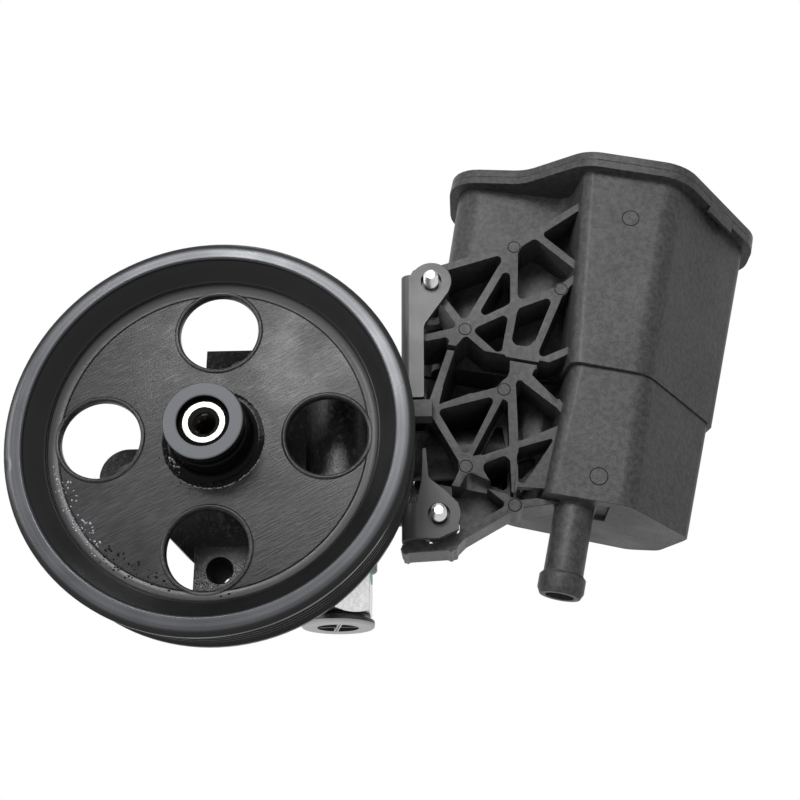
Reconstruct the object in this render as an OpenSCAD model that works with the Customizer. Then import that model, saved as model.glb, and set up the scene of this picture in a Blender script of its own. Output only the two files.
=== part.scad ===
// Power steering pump with its belt pulley, vane pump and bolted-on fluid reservoir.
// The shaft runs along Y with the pulley towards -Y, and +Z is up as it is fitted.
// The origin is on the shaft line, in the plane of the mounting ears' rear faces.

/* [Pulley] */
// outside diameter over the front flange
pulley_d = 152; // [148:1:158]
// width of the rim from the front ring to the rear edge
pulley_w = 30; // [29:0.5:33]
// distance from the mounting plane forward to the front ring
pulley_setback = 70; // [69:0.5:74]
// number of belt grooves
groove_n = 6; // [5:1:6]
// pitch of the belt grooves
groove_pitch = 3.56; // [3.4:0.02:3.6]
// depth of a belt groove
groove_depth = 2.8; // [2.4:0.1:3]
// radial width of the front ring
ring_w = 7; // [6:0.5:8]
// depth of the dish from the front ring to the web
dish_depth = 11; // [10:0.5:12]
// thickness of the web
web_t = 3.2; // [2.6:0.1:3.6]
// diameter of each tool access hole
access_d = 30.6; // [28:0.2:32]
// distance of the access holes' centres in from the web's edge
access_in = 15.2; // [14:0.2:16]
// diameter of the hub's nose
hub_d = 29.7; // [28:0.1:31]
// how far the hub's nose stands ahead of the front ring
nose_out = 8.4; // [7:0.2:10]

/* [Shaft] */
// diameter of the drive shaft
shaft_d = 19; // [18:0.5:20]
// drill diameter of the thread in the shaft's front end
puller_d = 8.5; // [7.5:0.1:9]
// depth of that thread
puller_depth = 26; // [20:1:30]
// radial running clearance of the shaft in its bush
shaft_clear = 0.03; // [0.02:0.01:0.08]

/* [Pump] */
// outside diameter of the pump body
body_d = 74; // [72:1:78]
// diameter of the bore that holds the pump's inner parts
bore_d = 60; // [58:0.5:62]
// from the mounting plane forward to the body's front face
body_front = 24; // [23:0.5:26]
// thickness of the body's front wall
front_wall = 8; // [7:0.5:10]
// thickness of the thrust plate
thrust_t = 4; // [3:0.5:5]
// width of the cam ring
cam_w = 16; // [14:0.5:18]
// outside diameter of the cam ring
cam_d = 54; // [53:0.5:55]
// smallest inside radius of the cam ring
cam_r = 20.5; // [20:0.1:20.8]
// how far the cam's surface rises from its smallest radius
cam_lift = 2.2; // [1.5:0.1:2.6]
// number of vanes
vane_n = 10; // [8:1:10]
// thickness of a vane
vane_t = 1.8; // [1.4:0.1:2]
// thickness of the pressure plate
press_t = 6; // [5:0.5:8]
// height of the plate spring
spring_h = 4; // [3:0.5:5]
// thickness of the rear cover
cover_t = 5.5; // [5:0.5:7]
// thickness of the cover's retaining ring
snap_t = 1.7; // [1.5:0.1:2]
// clearance between pieces that slide into one another
slide_clear = 0.05; // [0.03:0.01:0.1]

/* [Mounting ears] */
// distance of each mounting hole from the shaft line
ear_r = 45; // [44:0.5:46]
// diameter of a mounting hole
ear_hole_d = 10.5; // [9:0.5:11]
// thickness of the top and left ears
ear_t = 11; // [9:0.5:13]
// length of the bottom ear
low_ear_l = 34; // [30:1:36]
// half the width of the top ear
top_ear_hw = 15; // [13:0.5:17]
// half the width of the bottom ear
low_ear_hw = 10; // [9:0.5:12]
// metal left outside a mounting hole's centre
ear_margin = 10.2; // [9:0.2:12]

/* [Flow valve and outlet] */
// place of the valve's axis to the right of the shaft
valve_x = 43.8; // [43:0.2:46]
// distance of the valve's axis ahead of the mounting plane
valve_fwd = 17; // [16.5:0.5:18]
// outside diameter of the valve's boss
valve_boss_d = 30; // [28:0.5:31]
// diameter of the valve's bore
valve_bore_d = 16; // [14:0.5:16.5]
// height of the boss's lower face under the shaft
boss_low = 42; // [40:1:44]
// height of the boss's top above the shaft
boss_high = 34; // [32:1:38]
// length of the valve spool
spool_l = 26; // [24:1:28]
// travel of the valve spool
spool_travel = 6; // [4:0.5:7]
// width across flats of the outlet fitting
fitting_af = 25.4; // [24:0.2:27]
// length of the fitting's hexagon
fitting_l = 18; // [16:0.5:20]
// diameter of the outlet port
port_d = 16; // [14:0.5:17]
// diameter of the port plug's flange
plug_d = 28.4; // [26:0.2:30]
// thickness of the port plug's flange
plug_t = 3; // [2.5:0.5:4]

/* [Inlet] */
// height of the inlet above the shaft
inlet_z = 10.5; // [9.5:0.5:11.5]
// distance of the inlet's axis behind the mounting plane
inlet_back = 1; // [0.5:0.5:2]
// diameter of the inlet's bore
inlet_bore_d = 16; // [15:0.5:16.5]
// distance of the inlet flange's face from the shaft
flange_x = 69; // [68:0.5:70]
// distance of each flange bolt from the inlet's axis
flange_bolt_r = 22; // [21.5:0.5:24]
// shank diameter of the flange bolts
flange_bolt_d = 8; // [7:0.5:8]

/* [Bracket] */
// thickness of the bracket's sheet
bracket_t = 3; // [2.5:0.1:3.5]
// distance of the bracket's front face ahead of the mounting plane
bracket_fwd = 34; // [33:0.5:35]
// outside radius of the bend at the upper ear
bend_up = 4; // [3.6:0.2:5]
// outside radius of the bend at the lower ear
bend_low = 6; // [5:0.2:6.4]
// place of the upper stud to the right of the shaft
stud_up_x = 81.4; // [80.5:0.1:82.5]
// height of the upper stud
stud_up_z = 74.6; // [73.5:0.1:75.5]
// place of the lower stud to the right of the shaft
stud_low_x = 83.6; // [83:0.1:84.6]
// height of the lower stud under the shaft
stud_low_z = 23.9; // [23:0.1:25]
// diameter of the studs
stud_d = 6; // [5:0.5:6.5]
// how far the studs stand out of the bracket
stud_out = 6; // [4:0.5:8]

/* [Reservoir] */
// lean of the reservoir from upright, in degrees
tilt = 12; // [11.5:0.1:12.5]
// wall of the reservoir's shells
wall = 3; // [2.4:0.1:3.4]
// level of the seam between the two shells
seam_w = 64.3; // [63.5:0.1:65.5]
// level of the lower shell's underside
bottom_w = 10.4; // [9:0.2:12]
// level of the underside of the rim
rim_low_w = 150.2; // [146:0.2:153]
// thickness of the upper shell's flange
rim_t = 3.4; // [3:0.2:4]
// thickness of the lid's edge
lid_t = 3.6; // [3:0.2:5]
// overhang of the rim past the wall
rim_out = 4.2; // [3:0.2:5]
// width of a stiffening rib
rib_t = 3.2; // [2.6:0.1:3.6]
// radius where two ribs meet
rib_fillet = 1.8; // [1:0.1:2.2]
// distance of the upper ribs' front edges ahead of the mounting plane
rib_fwd = 30; // [29:0.5:30.5]
// outside diameter of the return nozzle
nozzle_d = 15.4; // [14:0.2:16]
// diameter of the return nozzle's barb
barb_d = 18; // [17:0.2:19]
// length of the return nozzle under the shell
nozzle_l = 36.4; // [30:0.2:40]
// bore of the return nozzle
nozzle_bore = 11; // [9:0.5:12]
// outside diameter of the supply tube to the pump
tube_d = 21; // [20.5:0.2:22]
// outside diameter of the filler neck
neck_d = 36; // [34:0.5:38]
// wall of the filler neck
neck_wall = 2.5; // [2:0.1:3]
// height of the filler neck above the lid
neck_h = 5; // [4:0.5:6]
// outside diameter of the filler cap
cap_d = 44; // [43:0.5:46]
// height of the filler cap
cap_h = 9; // [8:0.5:10]
// clearance between the cap's skirt and the neck
cap_clear = 0.4; // [0.3:0.05:0.5]
// length of the dipstick under the cap
dip_l = 84; // [70:1:86]

/* [Hidden] */
$fn = 72;

// pulley stations along the shaft
y_ring = -pulley_setback;
y_rim_rear = y_ring + pulley_w;
y_web = y_ring + dish_depth;
y_web_rear = y_web + web_t;
y_nose = y_ring - nose_out;
hub_tail = 2;
y_hub_rear = y_web_rear + hub_tail;
rim_r = pulley_d / 2;
ring_in = rim_r - ring_w;
rear_flange_drop = 0.8;
rear_flange_w = 3.6;
groove_crest = rim_r - 1.8;
groove_floor = groove_crest - groove_depth;
rim_wall = 4;
rim_in = groove_floor - rim_wall;
groove_land = 0.8;
groove_flat = 0.7;
groove_y0 = y_rim_rear - rear_flange_w - groove_n * groove_pitch;
dish_r = ring_in - 6.3;
web_r = dish_r - 4.7;
access_r = web_r - access_in;
dish_fillet = dish_depth - 8;
dish_step = 7.5;
web_seam_a = 45;
web_seam_r = web_r + 4.2 * sin(web_seam_a);
weld_gap = 0.02;
hub_r = hub_d / 2;
hub_seat = hub_r + 0.65;
shaft_r = shaft_d / 2;
nose_recess = 2;
y_shaft = y_nose + nose_recess;
shaft_bevel = 1.75;
puller_r = puller_d / 2;

// pump stations along the shaft
hub_gap = 4;
y_seal = y_hub_rear + hub_gap;
seal_r = shaft_r + 5.5;
seal_l = 7;
housing_nose_r = seal_r + 4;
body_r = body_d / 2;
bore_r = bore_d / 2;
y_body = -body_front;
y_bore = y_body + front_wall;
y_cam = y_bore + thrust_t;
y_press = y_cam + cam_w;
y_spring = y_press + press_t;
y_cover = y_spring + spring_h;
y_snap = y_cover + cover_t;
y_body_rear = y_snap + snap_t + 1.5;
snap_groove = 1.4;
bush_wall = 2;
bush_r = shaft_r + shaft_clear + bush_wall;
y_bush = y_seal + seal_l + 2;
bush_end = 1;
rotor_r = cam_r - 0.3;
vane_tip = cam_r - 0.08;
vane_h = 7.8;
spline_r = shaft_r - 2;
spline_tooth = 0.9;
spline_n = 12;
pilot_r = spline_r - 1.2;
rotor_ring_t = 1.2;
rotor_ring_r = spline_r + 2.2;
dowel_r = 1.5;
dowel_z = (cam_d / 2 + cam_r) / 2;
o_ring_r = 1.35;

// valve and outlet stations
valve_y = -valve_fwd;
valve_r = valve_bore_d / 2;
stem_r = valve_r + 2;
stem_l = 11;
z_stem = -boss_low + stem_l;
z_hex = -boss_low - fitting_l;
stem_chamfer = 2.4;
passage_r = 5;
port_r = port_d / 2;
port_l = 13;
spool_r = valve_r - 0.02;
z_spool = z_stem;
valve_top = boss_high - 7;
spool_bore = spool_r - 3.4;
relief_wall = 8;
ball_r = 2.4;
seat_l = 6;
z_ball = z_spool + spool_l - seat_l - 0.2;
plug_neck = 1.4;
plug_clear = 0.1;
plug_wall = 1.6;
plug_stem_l = 10;
plug_recess = 2;

// inlet stations
inlet_y = inlet_back;
inlet_r = inlet_bore_d / 2;
inlet_boss_r = inlet_r + 5;
flange_t = 12;
flange_hole_l = 16;
lobe_r = flange_bolt_d / 2 + 4;
pilot_clear = 0.1;
inlet_pilot_r = inlet_r - pilot_clear;
inlet_pilot_l = 15;
inlet_o_r = 1;
tube_r = tube_d / 2;
tube_bore = inlet_pilot_r - 2.4;

// bracket stations
bx0 = flange_x;
bx1 = flange_x + bracket_t;
y_bracket = -bracket_fwd;
y_bracket_rear = y_bracket + bracket_t;
strip_x = 78.2;
strip_low = 23.9;
gap_low = 2.6;
ear_round = 8.4;
ear_low_drop = 9.4;
ear_taper = 19.6;
stud_r = stud_d / 2;
stud_hole = stud_r + 1.3;
nut_t = 5;
nut_r = stud_r + 3;
y_boss = y_bracket_rear + nut_t;
sleeve_wall = 1.2;
sleeve_r = stud_r + 0.3 + sleeve_wall;
stud_boss_r = sleeve_r + 2.6;
stud_boss_l = 13;
y_head = y_boss + stud_boss_l;
head_t = 4.6;
washer_t = 1.4;

// reservoir outlines as corners [across, back, radius] at each level
rim_line = [[63.5, -7, 12], [94, -14.5, 25], [119, -38, 12], [156.3, -38, 14],
  [192.5, 8, 13], [192.5, 27, 10], [180, 34, 10], [63.5, 34, 14]];
upper_top = [[63.5, -7, 12], [113, -11, 8], [118, -38, 5], [156.3, -38, 12],
  [192.5, 8, 10], [192.5, 27, 10], [180, 34, 10], [63.5, 34, 14]];
upper_seam = [[68, -6, 12], [121, -10, 8], [126, -37.5, 5], [156, -37.5, 12],
  [189.5, 7.5, 6.5], [187, 26, 8], [176, 33, 10], [68, 33, 14]];
lower_seam = [[127, -35.5, 5], [156.5, -35.7, 10], [187.5, 6, 6], [184, 23, 8],
  [172, 30.5, 10], [106, 30.5, 10], [107, -6, 5], [123, -8, 6]];
lower_bottom = [[125, -33.5, 5], [157.5, -35.2, 10], [184.5, -6, 6], [176, 21.5, 8],
  [164, 29, 10], [106, 26.5, 10], [109, -5, 5], [121.5, -7, 6]];
y_rib = -rib_fwd;
rib_end_up = -3;
rib_step = 1.5;
rib_end_low = inlet_y + 9.5;
skirt_end = -10;
back_t = 2.5;
back_gap = 0.6;
tube_end = 118;
tunnel_r = stud_r + 4;
tunnel_end = 30;
// how far a cut runs past the face that it opens
cut_past = 9;
seam_gap = 0.7;
pin_r = 2.9;
rim_mid_w = rim_low_w + rim_t;
rim_top_w = rim_mid_w + lid_t;
upper_h = rim_low_w - seam_w;
lower_h = seam_w - bottom_w;
// tab of the lid that hangs over the rim's slanted side
slant_from = [rim_line[3][0], rim_line[3][1]];
slant_to = [rim_line[4][0], rim_line[4][1]];
slant = (slant_to - slant_from) / norm(slant_to - slant_from);
slant_out = [slant[1], -slant[0]];
tab_at = 21;
tab_l = 19;
tab_t = 1.6;
tab_drop = 2.6;
tab_clear = 0.15;
nozzle_u = 137.3;
nozzle_y = -22;
nozzle_r = nozzle_d / 2;
barb_r = barb_d / 2;
barb_l = 9;
// shallow pocket under the lower shell, beside the nozzle
pocket_gap = 0.8;
pocket_w = 4.4;
pocket_l = 21;
pocket_fwd = 29;
pocket_depth = wall * 0.6;
cap_u = 146;
cap_y = 7;
neck_r = neck_d / 2;
cap_r = cap_d / 2;
neck_top_w = rim_top_w + neck_h;
gasket_t = 1.2;
cap_top_t = 2.5;
dip_t = 1.6;
dip_w = 6;

// rib crossings as [across, up] in the leaning frame: upper half, hung from the rim and stood on the seam
r_ear = [62, rim_low_w - 54.7];
r_pin1 = [94.5, rim_low_w - 36.8];
r_mid = [102, rim_low_w - 29.2];
r_top = [121.5, rim_low_w - 9.6];
r_side = [124.5, rim_low_w - 42.6];
r_pin2 = [116.8, rim_low_w - 52.3];
r_cross = [99.3, seam_w + 22.6];
r_pin3 = [81.5, seam_w + 8.8];
r_foot1 = [99.6, seam_w - rib_t];
r_foot2 = [109.5, seam_w - rib_t];
r_out = [128, seam_w + 10.1];
r_left = [63, seam_w + 0.5];
r_down = [75.8, seam_w - rib_t];
// rib crossings: lower half, hung from the seam and stood on the underside
s_foot1 = [102, seam_w + rib_t];
s_foot2 = [106, seam_w + rib_t];
s_pin1 = [101.7, seam_w - 13.5];
s_side1 = [128, seam_w - 19.5];
s_clip = [74.6, bottom_w + 27.2];
s_pin2 = [92.9, bottom_w + 5.9];
s_cross = [109.6, bottom_w + 16.7];
s_side2 = [127, bottom_w + 28.6];
s_foot3 = [112.2, bottom_w + 1.1];
s_up = [78, seam_w + rib_t];
// rib crossings: skirt under the lower shell
k_pin = [114.4, bottom_w - 5.5];
k_left = [76.6, bottom_w - 30.8];
k_bend = [93.6, bottom_w - 26.2];
k_turn = [97, bottom_w - 21];
k_right = [129, bottom_w - 0.4];

function unit(v) = v / norm(v);

// points of a rounded corner p between its neighbours a and b
function corner_arc(a, p, b, r, n) =
  let (ua = unit(a - p), ub = unit(b - p), half = acos(ua * ub) / 2,
    c = p + unit(ua + ub) * (r / sin(half)),
    s = p + ua * (r / tan(half)) - c, e = p + ub * (r / tan(half)) - c,
    a0 = atan2(s[1], s[0]), d = ((atan2(e[1], e[0]) - a0 + 540) % 360) - 180)
  [for (i = [0:n]) c + r * [cos(a0 + d * i / n), sin(a0 + d * i / n)]];

function flat(c) = [c[0], c[1]];

// closed outline through the corners q, each rounded by its own radius
function rounded(q, n = 7) =
  let (m = len(q))
  [for (i = [0:m - 1])
    each corner_arc(flat(q[(i + m - 1) % m]), flat(q[i]), flat(q[(i + 1) % m]), q[i][2], n)];

// corners moved inwards by d, with radii that follow
function inset(q, d) =
  let (m = len(q))
  [for (i = [0:m - 1])
    let (p = flat(q[i]), d1 = unit(p - flat(q[(i + m - 1) % m])), d2 = unit(flat(q[(i + 1) % m]) - p),
      n1 = [-d1[1], d1[0]], n2 = [-d2[1], d2[0]], turn = sign(d1[0] * d2[1] - d1[1] * d2[0]),
      s = p + (n1 + n2) * (d / (1 + n1 * n2)))
    [s[0], s[1], max(q[i][2] - d * turn, 0.8)]];

// corners between two outlines, or past them, at the share f of the way from a to b
function between(a, b, f) = [for (i = [0:len(a) - 1]) a[i] + (b[i] - a[i]) * f];

// middle of an outline's points
function middle(q) = [for (i = [0:len(q) - 1]) 1] * q / len(q);

// solid between two outlines of as many points at two levels, each end fanned from its middle
module loft(low, high, w0, w1) {
  m = len(low);
  bottom = [for (p = concat(low, [middle(low)])) [p[0], p[1], w0]];
  top = [for (p = concat(high, [middle(high)])) [p[0], p[1], w1]];
  ends = [for (i = [0:m - 1]) each [[i, (i + 1) % m, m], [(i + 1) % m + m + 1, i + m + 1, 2 * m + 1]]];
  sides = [for (i = [0:m - 1])
    each [[i, i + m + 1, (i + 1) % m + m + 1], [i, (i + 1) % m + m + 1, (i + 1) % m]]];
  polyhedron(concat(bottom, top), concat(ends, sides));
}

// solid of revolution about the shaft from points [radius, y]
module spin(pts) {
  rotate([-90, 0, 0])
    rotate_extrude($fn = 144)
      polygon(pts);
}

module ycyl(r, y0, y1, x = 0, z = 0) {
  translate([x, y0, z])
    rotate([-90, 0, 0])
      cylinder(r = r, h = y1 - y0);
}

module xcyl(r, x0, x1, y, z) {
  translate([x0, y, z])
    rotate([0, 90, 0])
      cylinder(r = r, h = x1 - x0);
}

module zcyl(r, z0, z1, x, y) {
  translate([x, y, z0])
    cylinder(r = r, h = z1 - z0);
}

// plate drawn in the XZ plane between two stations along Y
module yplate(y0, y1) {
  translate([0, y1, 0])
    rotate([90, 0, 0])
      linear_extrude(y1 - y0)
        children();
}

// plate drawn in the YZ plane between two stations along X
module xplate(x0, x1) {
  translate([x0, 0, 0])
    rotate([90, 0, 90])
      linear_extrude(x1 - x0)
        children();
}

// coil of round wire standing on z = 0
module coil(radius, r, h, turns, sides = 8, per = 14) {
  n = turns * per;
  pts = [for (i = [0:n]) for (k = [0:sides - 1])
    let (a = 360 * i / per, b = 360 * k / sides, q = radius + r * cos(b))
    [q * cos(a), q * sin(a), r + (h - 2 * r) * i / n + r * sin(b)]];
  walls = [for (i = [0:n - 1]) for (k = [0:sides - 1])
    let (j = (k + 1) % sides)
    [i * sides + k, i * sides + j, (i + 1) * sides + j, (i + 1) * sides + k]];
  first = [for (k = [0:sides - 1]) sides - 1 - k];
  last = [for (k = [0:sides - 1]) n * sides + k];
  polyhedron(pts, concat(walls, [first, last]));
}

module ring_round(radius, r, x = 0, y = 0, z = 0, turn = [0, 0, 0]) {
  translate([x, y, z])
    rotate(turn)
      rotate_extrude()
        translate([radius, 0])
          circle(r = r, $fn = 24);
}

// the reservoir's leaning frame
module lean() {
  rotate([0, tilt, 0])
    children();
}

// round between the dish's cone and the web, from the web outwards, as points [radius, y]
function dish_round(a0, a1) =
  [for (a = [a0:dish_step:a1]) [web_r + 4.2 * sin(a), y_web - dish_fillet * (1 - cos(a))]];

module pulley_rim() {
  half_top = (groove_pitch - groove_land) / 2;
  half_low = groove_flat / 2;
  front = [[ring_in + 0.5, y_ring], [rim_r - 3.5, y_ring], [rim_r, y_ring + 2],
    [rim_r, groove_y0 - 0.9], [rim_r - 0.4, groove_y0 - 0.5], [groove_crest, groove_y0]];
  ribs = [for (i = [0:groove_n - 1]) let (c = groove_y0 + (i + 0.5) * groove_pitch)
    each [[groove_crest, c - half_top], [groove_floor, c - half_low], [groove_floor, c + half_low],
      [groove_crest, c + half_top]]];
  rear = [[groove_crest, y_rim_rear - rear_flange_w],
    [rim_r - rear_flange_drop, y_rim_rear - rear_flange_w + 0.8],
    [rim_r - rear_flange_drop, y_rim_rear - 0.5], [rim_r - rear_flange_drop - 0.5, y_rim_rear],
    [rim_in + 0.6, y_rim_rear], [rim_in, y_rim_rear - 0.6]];
  back_round = [for (a = [0:15:90]) [rim_in - 4 + 4 * cos(a), y_web_rear + 4 - 4 * sin(a)]];
  seam = [[web_seam_r, y_web_rear]];
  cone = [[dish_r - 0.2, y_web - dish_fillet - 0.4], [dish_r + 0.3, y_web - dish_fillet - 0.6],
    [ring_in - 0.6, y_ring + 1.5], [ring_in - 0.2, y_ring + 1.2], [ring_in, y_ring + 0.5]];
  color([0.1, 0.1, 0.11])
    spin(concat(front, ribs, rear, back_round, seam, dish_round(web_seam_a, 90), cone));
}

// the dished disc inside the rim, with the tool access holes
module pulley_web() {
  outer = dish_round(0, web_seam_a);
  last = len(outer) - 1;
  edge = [for (i = [0:last]) i < last ? outer[i] : [web_seam_r - weld_gap, outer[i][1]]];
  color([0.1, 0.1, 0.11])
    difference() {
      spin(concat([[hub_seat, y_web_rear], [hub_seat, y_web]], edge,
        [[web_seam_r - weld_gap, y_web_rear]]));
      for (a = [0:90:270])
        rotate([0, a, 0]) {
          ycyl(access_d / 2, y_web - 1, y_web_rear + 1, access_r, 0);
          translate([access_r, y_web - 0.01, 0])
            rotate([-90, 0, 0])
              cylinder(r1 = access_d / 2 + 0.9, r2 = access_d / 2, h = 0.9);
        }
    }
}

module pulley_hub() {
  flare = [for (a = [0:15:90]) [hub_r + 3.7 - 3.4 * cos(a), y_web - 2.6 + 2.6 * sin(a)]];
  body = [[shaft_r + 0.5, y_nose], [hub_r - 0.6, y_nose], [hub_r, y_nose + 0.6], [hub_r, y_nose + 3.7],
    [hub_r - 0.5, y_nose + 4.2], [hub_r - 2.2, y_nose + 4.4], [hub_r - 2.2, y_nose + 7.6],
    [hub_r - 0.3, y_nose + 7.8], [hub_r + 0.3, y_nose + 8.4], [hub_r + 0.3, y_web - 3]];
  tail = [[hub_seat, y_web], [hub_seat, y_hub_rear - 0.5], [hub_seat - 0.5, y_hub_rear],
    [shaft_r, y_hub_rear], [shaft_r, y_nose + 0.5]];
  color([0.08, 0.08, 0.09])
    spin(concat(body, flare, tail));
}

module drive_shaft() {
  y_end = y_press + press_t - 1;
  outer = [[shaft_r - shaft_bevel, y_shaft], [shaft_r, y_shaft + 1.5], [shaft_r, y_cam],
    [spline_r, y_cam], [spline_r, y_press], [pilot_r + 0.6, y_press], [pilot_r + 0.6, y_press + 0.1],
    [pilot_r, y_press + 0.1], [pilot_r, y_press + 0.2 + rotor_ring_t],
    [pilot_r + 0.6, y_press + 0.2 + rotor_ring_t], [pilot_r + 0.6, y_end - 0.6], [pilot_r, y_end],
    [0, y_end]];
  inner = [[0, y_shaft + puller_depth + puller_r * 0.6], [puller_r, y_shaft + puller_depth],
    [puller_r, y_shaft + 1.7], [puller_r + 1.6, y_shaft]];
  color([0.75, 0.75, 0.76])
    union() {
      spin(concat(outer, inner));
      for (i = [0:spline_n - 1])
        rotate([0, i * 360 / spline_n, 0])
          translate([spline_r - 0.8, y_cam, -1])
            cube([0.8 + spline_tooth, cam_w, 2]);
    }
}

module rotor() {
  c = slide_clear;
  color([0.6, 0.6, 0.62])
    difference() {
      ycyl(rotor_r, y_cam + c, y_press - c);
      ycyl(spline_r + c, y_cam - 1, y_press + 1);
      for (i = [0:spline_n - 1])
        rotate([0, i * 360 / spline_n, 0])
          translate([spline_r - 0.8, y_cam - 1, -1 - c])
            cube([0.8 + spline_tooth + c, cam_w + 2, 2 + 2 * c]);
      for (i = [0:vane_n - 1])
        rotate([0, (i + 0.5) * 360 / vane_n, 0])
          translate([vane_tip - vane_h - c, y_cam - 1, -vane_t / 2 - c])
            cube([vane_h + 4, cam_w + 2, vane_t + 2 * c]);
    }
}

module vanes() {
  c = slide_clear;
  color([0.7, 0.7, 0.72])
    for (i = [0:vane_n - 1])
      rotate([0, (i + 0.5) * 360 / vane_n, 0])
        translate([vane_tip - vane_h, y_cam + c, -vane_t / 2])
          cube([vane_h, cam_w - 2 * c, vane_t]);
}

module rotor_ring() {
  color([0.3, 0.3, 0.32])
    difference() {
      ycyl(rotor_ring_r, y_press + 0.1, y_press + 0.1 + rotor_ring_t);
      ycyl(pilot_r, y_press - 1, y_press + 1 + rotor_ring_t);
      translate([-1.6, y_press - 1, -rotor_ring_r - 1])
        cube([3.2, rotor_ring_t + 3, rotor_ring_r + 1]);
    }
}

module pump_housing() {
  gusset = [[-24, -28], [-low_ear_hw, -42], [low_ear_hw, -42], [24, -28]];
  color([0.09, 0.09, 0.1])
    difference() {
      union() {
        ycyl(housing_nose_r, y_seal, y_body + 1);
        ycyl(body_r, y_body, y_body_rear);
        // top ear
        translate([-top_ear_hw, -ear_t, 0])
          cube([2 * top_ear_hw, ear_t, ear_r + ear_margin]);
        // left ear
        ycyl(ear_margin + 1.6, -ear_t, 0, -ear_r, 0);
        translate([-ear_r, -ear_t, -ear_margin - 1.6])
          cube([ear_r, ear_t, 2 * ear_margin + 3.2]);
        // bottom ear
        translate([-low_ear_hw, -low_ear_l, -ear_r - ear_margin])
          cube([2 * low_ear_hw + 2.5, low_ear_l, 2 * ear_margin - 0.7]);
        yplate(y_body, 0)
          polygon(gusset);
        // valve boss and the block that carries it
        zcyl(valve_boss_d / 2, -boss_low, boss_high, valve_x, valve_y);
        translate([15, y_body + 1, -27])
          cube([valve_x - 15, valve_fwd + 8, 54]);
        // inlet flange
        xcyl(inlet_boss_r, 20, flange_x, inlet_y, inlet_z);
        xcyl(lobe_r, 20, flange_x, inlet_y, inlet_z + flange_bolt_r);
        xcyl(lobe_r, 20, flange_x, inlet_y, inlet_z - flange_bolt_r);
        translate([flange_x - flange_t, inlet_y - lobe_r, inlet_z - flange_bolt_r])
          cube([flange_t, 2 * lobe_r, 2 * flange_bolt_r]);
      }
      // shaft passage, seal seat and main bore
      ycyl(seal_r, y_seal - 1, y_seal + seal_l);
      ycyl(bush_r, y_seal, y_bore + 1);
      ycyl(bore_r, y_bore, y_body_rear + 1);
      ycyl(bore_r + snap_groove, y_snap, y_snap + snap_t + 0.1);
      // mounting holes
      ycyl(ear_hole_d / 2, -ear_t - 1, 1, 0, ear_r);
      ycyl(ear_hole_d / 2, -ear_t - 1, 1, -ear_r, 0);
      ycyl(ear_hole_d / 2, -low_ear_l - 1, 1, 0, -ear_r);
      // valve bore with the fitting's seat
      zcyl(valve_r, -boss_low - 1, valve_top, valve_x, valve_y);
      zcyl(stem_r, -boss_low - 1, z_stem, valve_x, valve_y);
      translate([valve_x, valve_y, -boss_low])
        cylinder(r1 = stem_r + stem_chamfer, r2 = stem_r, h = stem_chamfer);
      // inlet and its bolt holes
      xcyl(inlet_r, 15, flange_x + 1, inlet_y, inlet_z);
      xcyl(flange_bolt_d / 2, flange_x - flange_hole_l, flange_x + 1, inlet_y, inlet_z + flange_bolt_r);
      xcyl(flange_bolt_d / 2, flange_x - flange_hole_l, flange_x + 1, inlet_y, inlet_z - flange_bolt_r);
    }
}

module shaft_seal() {
  color([0.12, 0.1, 0.1])
    spin([[seal_r, y_seal], [seal_r, y_seal + seal_l], [bush_r + 1, y_seal + seal_l],
      [shaft_r + slide_clear, y_seal + seal_l - 1.5], [shaft_r + slide_clear, y_seal + seal_l - 2],
      [seal_r - 3.4, y_seal + seal_l - 3], [seal_r - 3.4, y_seal + 2.4],
      [shaft_r + 1, y_seal + 1.2], [shaft_r + 1, y_seal]]);
}

module shaft_bush() {
  color([0.72, 0.5, 0.26])
    difference() {
      ycyl(bush_r, y_bush, y_bore - bush_end);
      ycyl(shaft_r + shaft_clear, y_bush - 1, y_bore);
    }
}

module thrust_plate() {
  color([0.5, 0.5, 0.52])
    difference() {
      ycyl(bore_r - slide_clear, y_bore, y_cam);
      ycyl(shaft_r + 0.5, y_bore - 1, y_cam + 1);
      for (s = [-1, 1])
        ycyl(dowel_r, y_bore + 1, y_cam + 1, 0, s * dowel_z);
    }
}

module cam_ring() {
  profile = [for (a = [0:4:356]) (cam_r + cam_lift * (1 + cos(2 * a)) / 2) * [cos(a), sin(a)]];
  color([0.55, 0.55, 0.57])
    difference() {
      ycyl(cam_d / 2, y_cam, y_press);
      yplate(y_cam - 1, y_press + 1)
        polygon(profile);
      for (s = [-1, 1])
        ycyl(dowel_r, y_cam - 1, y_press + 1, 0, s * dowel_z);
    }
}

module pressure_plate() {
  color([0.5, 0.5, 0.52])
    difference() {
      ycyl(bore_r - slide_clear, y_press, y_spring);
      ycyl(rotor_ring_r + 0.6, y_press - 1, y_press + rotor_ring_t + 0.8);
      ycyl(pilot_r + 0.6 + slide_clear, y_press - 1, y_spring - 0.8);
      for (s = [-1, 1])
        ycyl(dowel_r, y_press - 1, y_spring - 2, 0, s * dowel_z);
      for (s = [-1, 1])
        ycyl(3, y_press - 1, y_spring + 1, s * 17, 0);
    }
}

module dowel_pins() {
  color([0.7, 0.7, 0.72])
    for (s = [-1, 1])
      ycyl(dowel_r, y_bore + 1, y_spring - 2, 0, s * dowel_z);
}

module plate_spring() {
  t = 1.2;
  color([0.35, 0.35, 0.38])
    spin([[bore_r - 4, y_spring], [bore_r - 4, y_spring + t],
      [bore_r - 12, y_cover], [bore_r - 12, y_cover - t]]);
}

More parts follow.
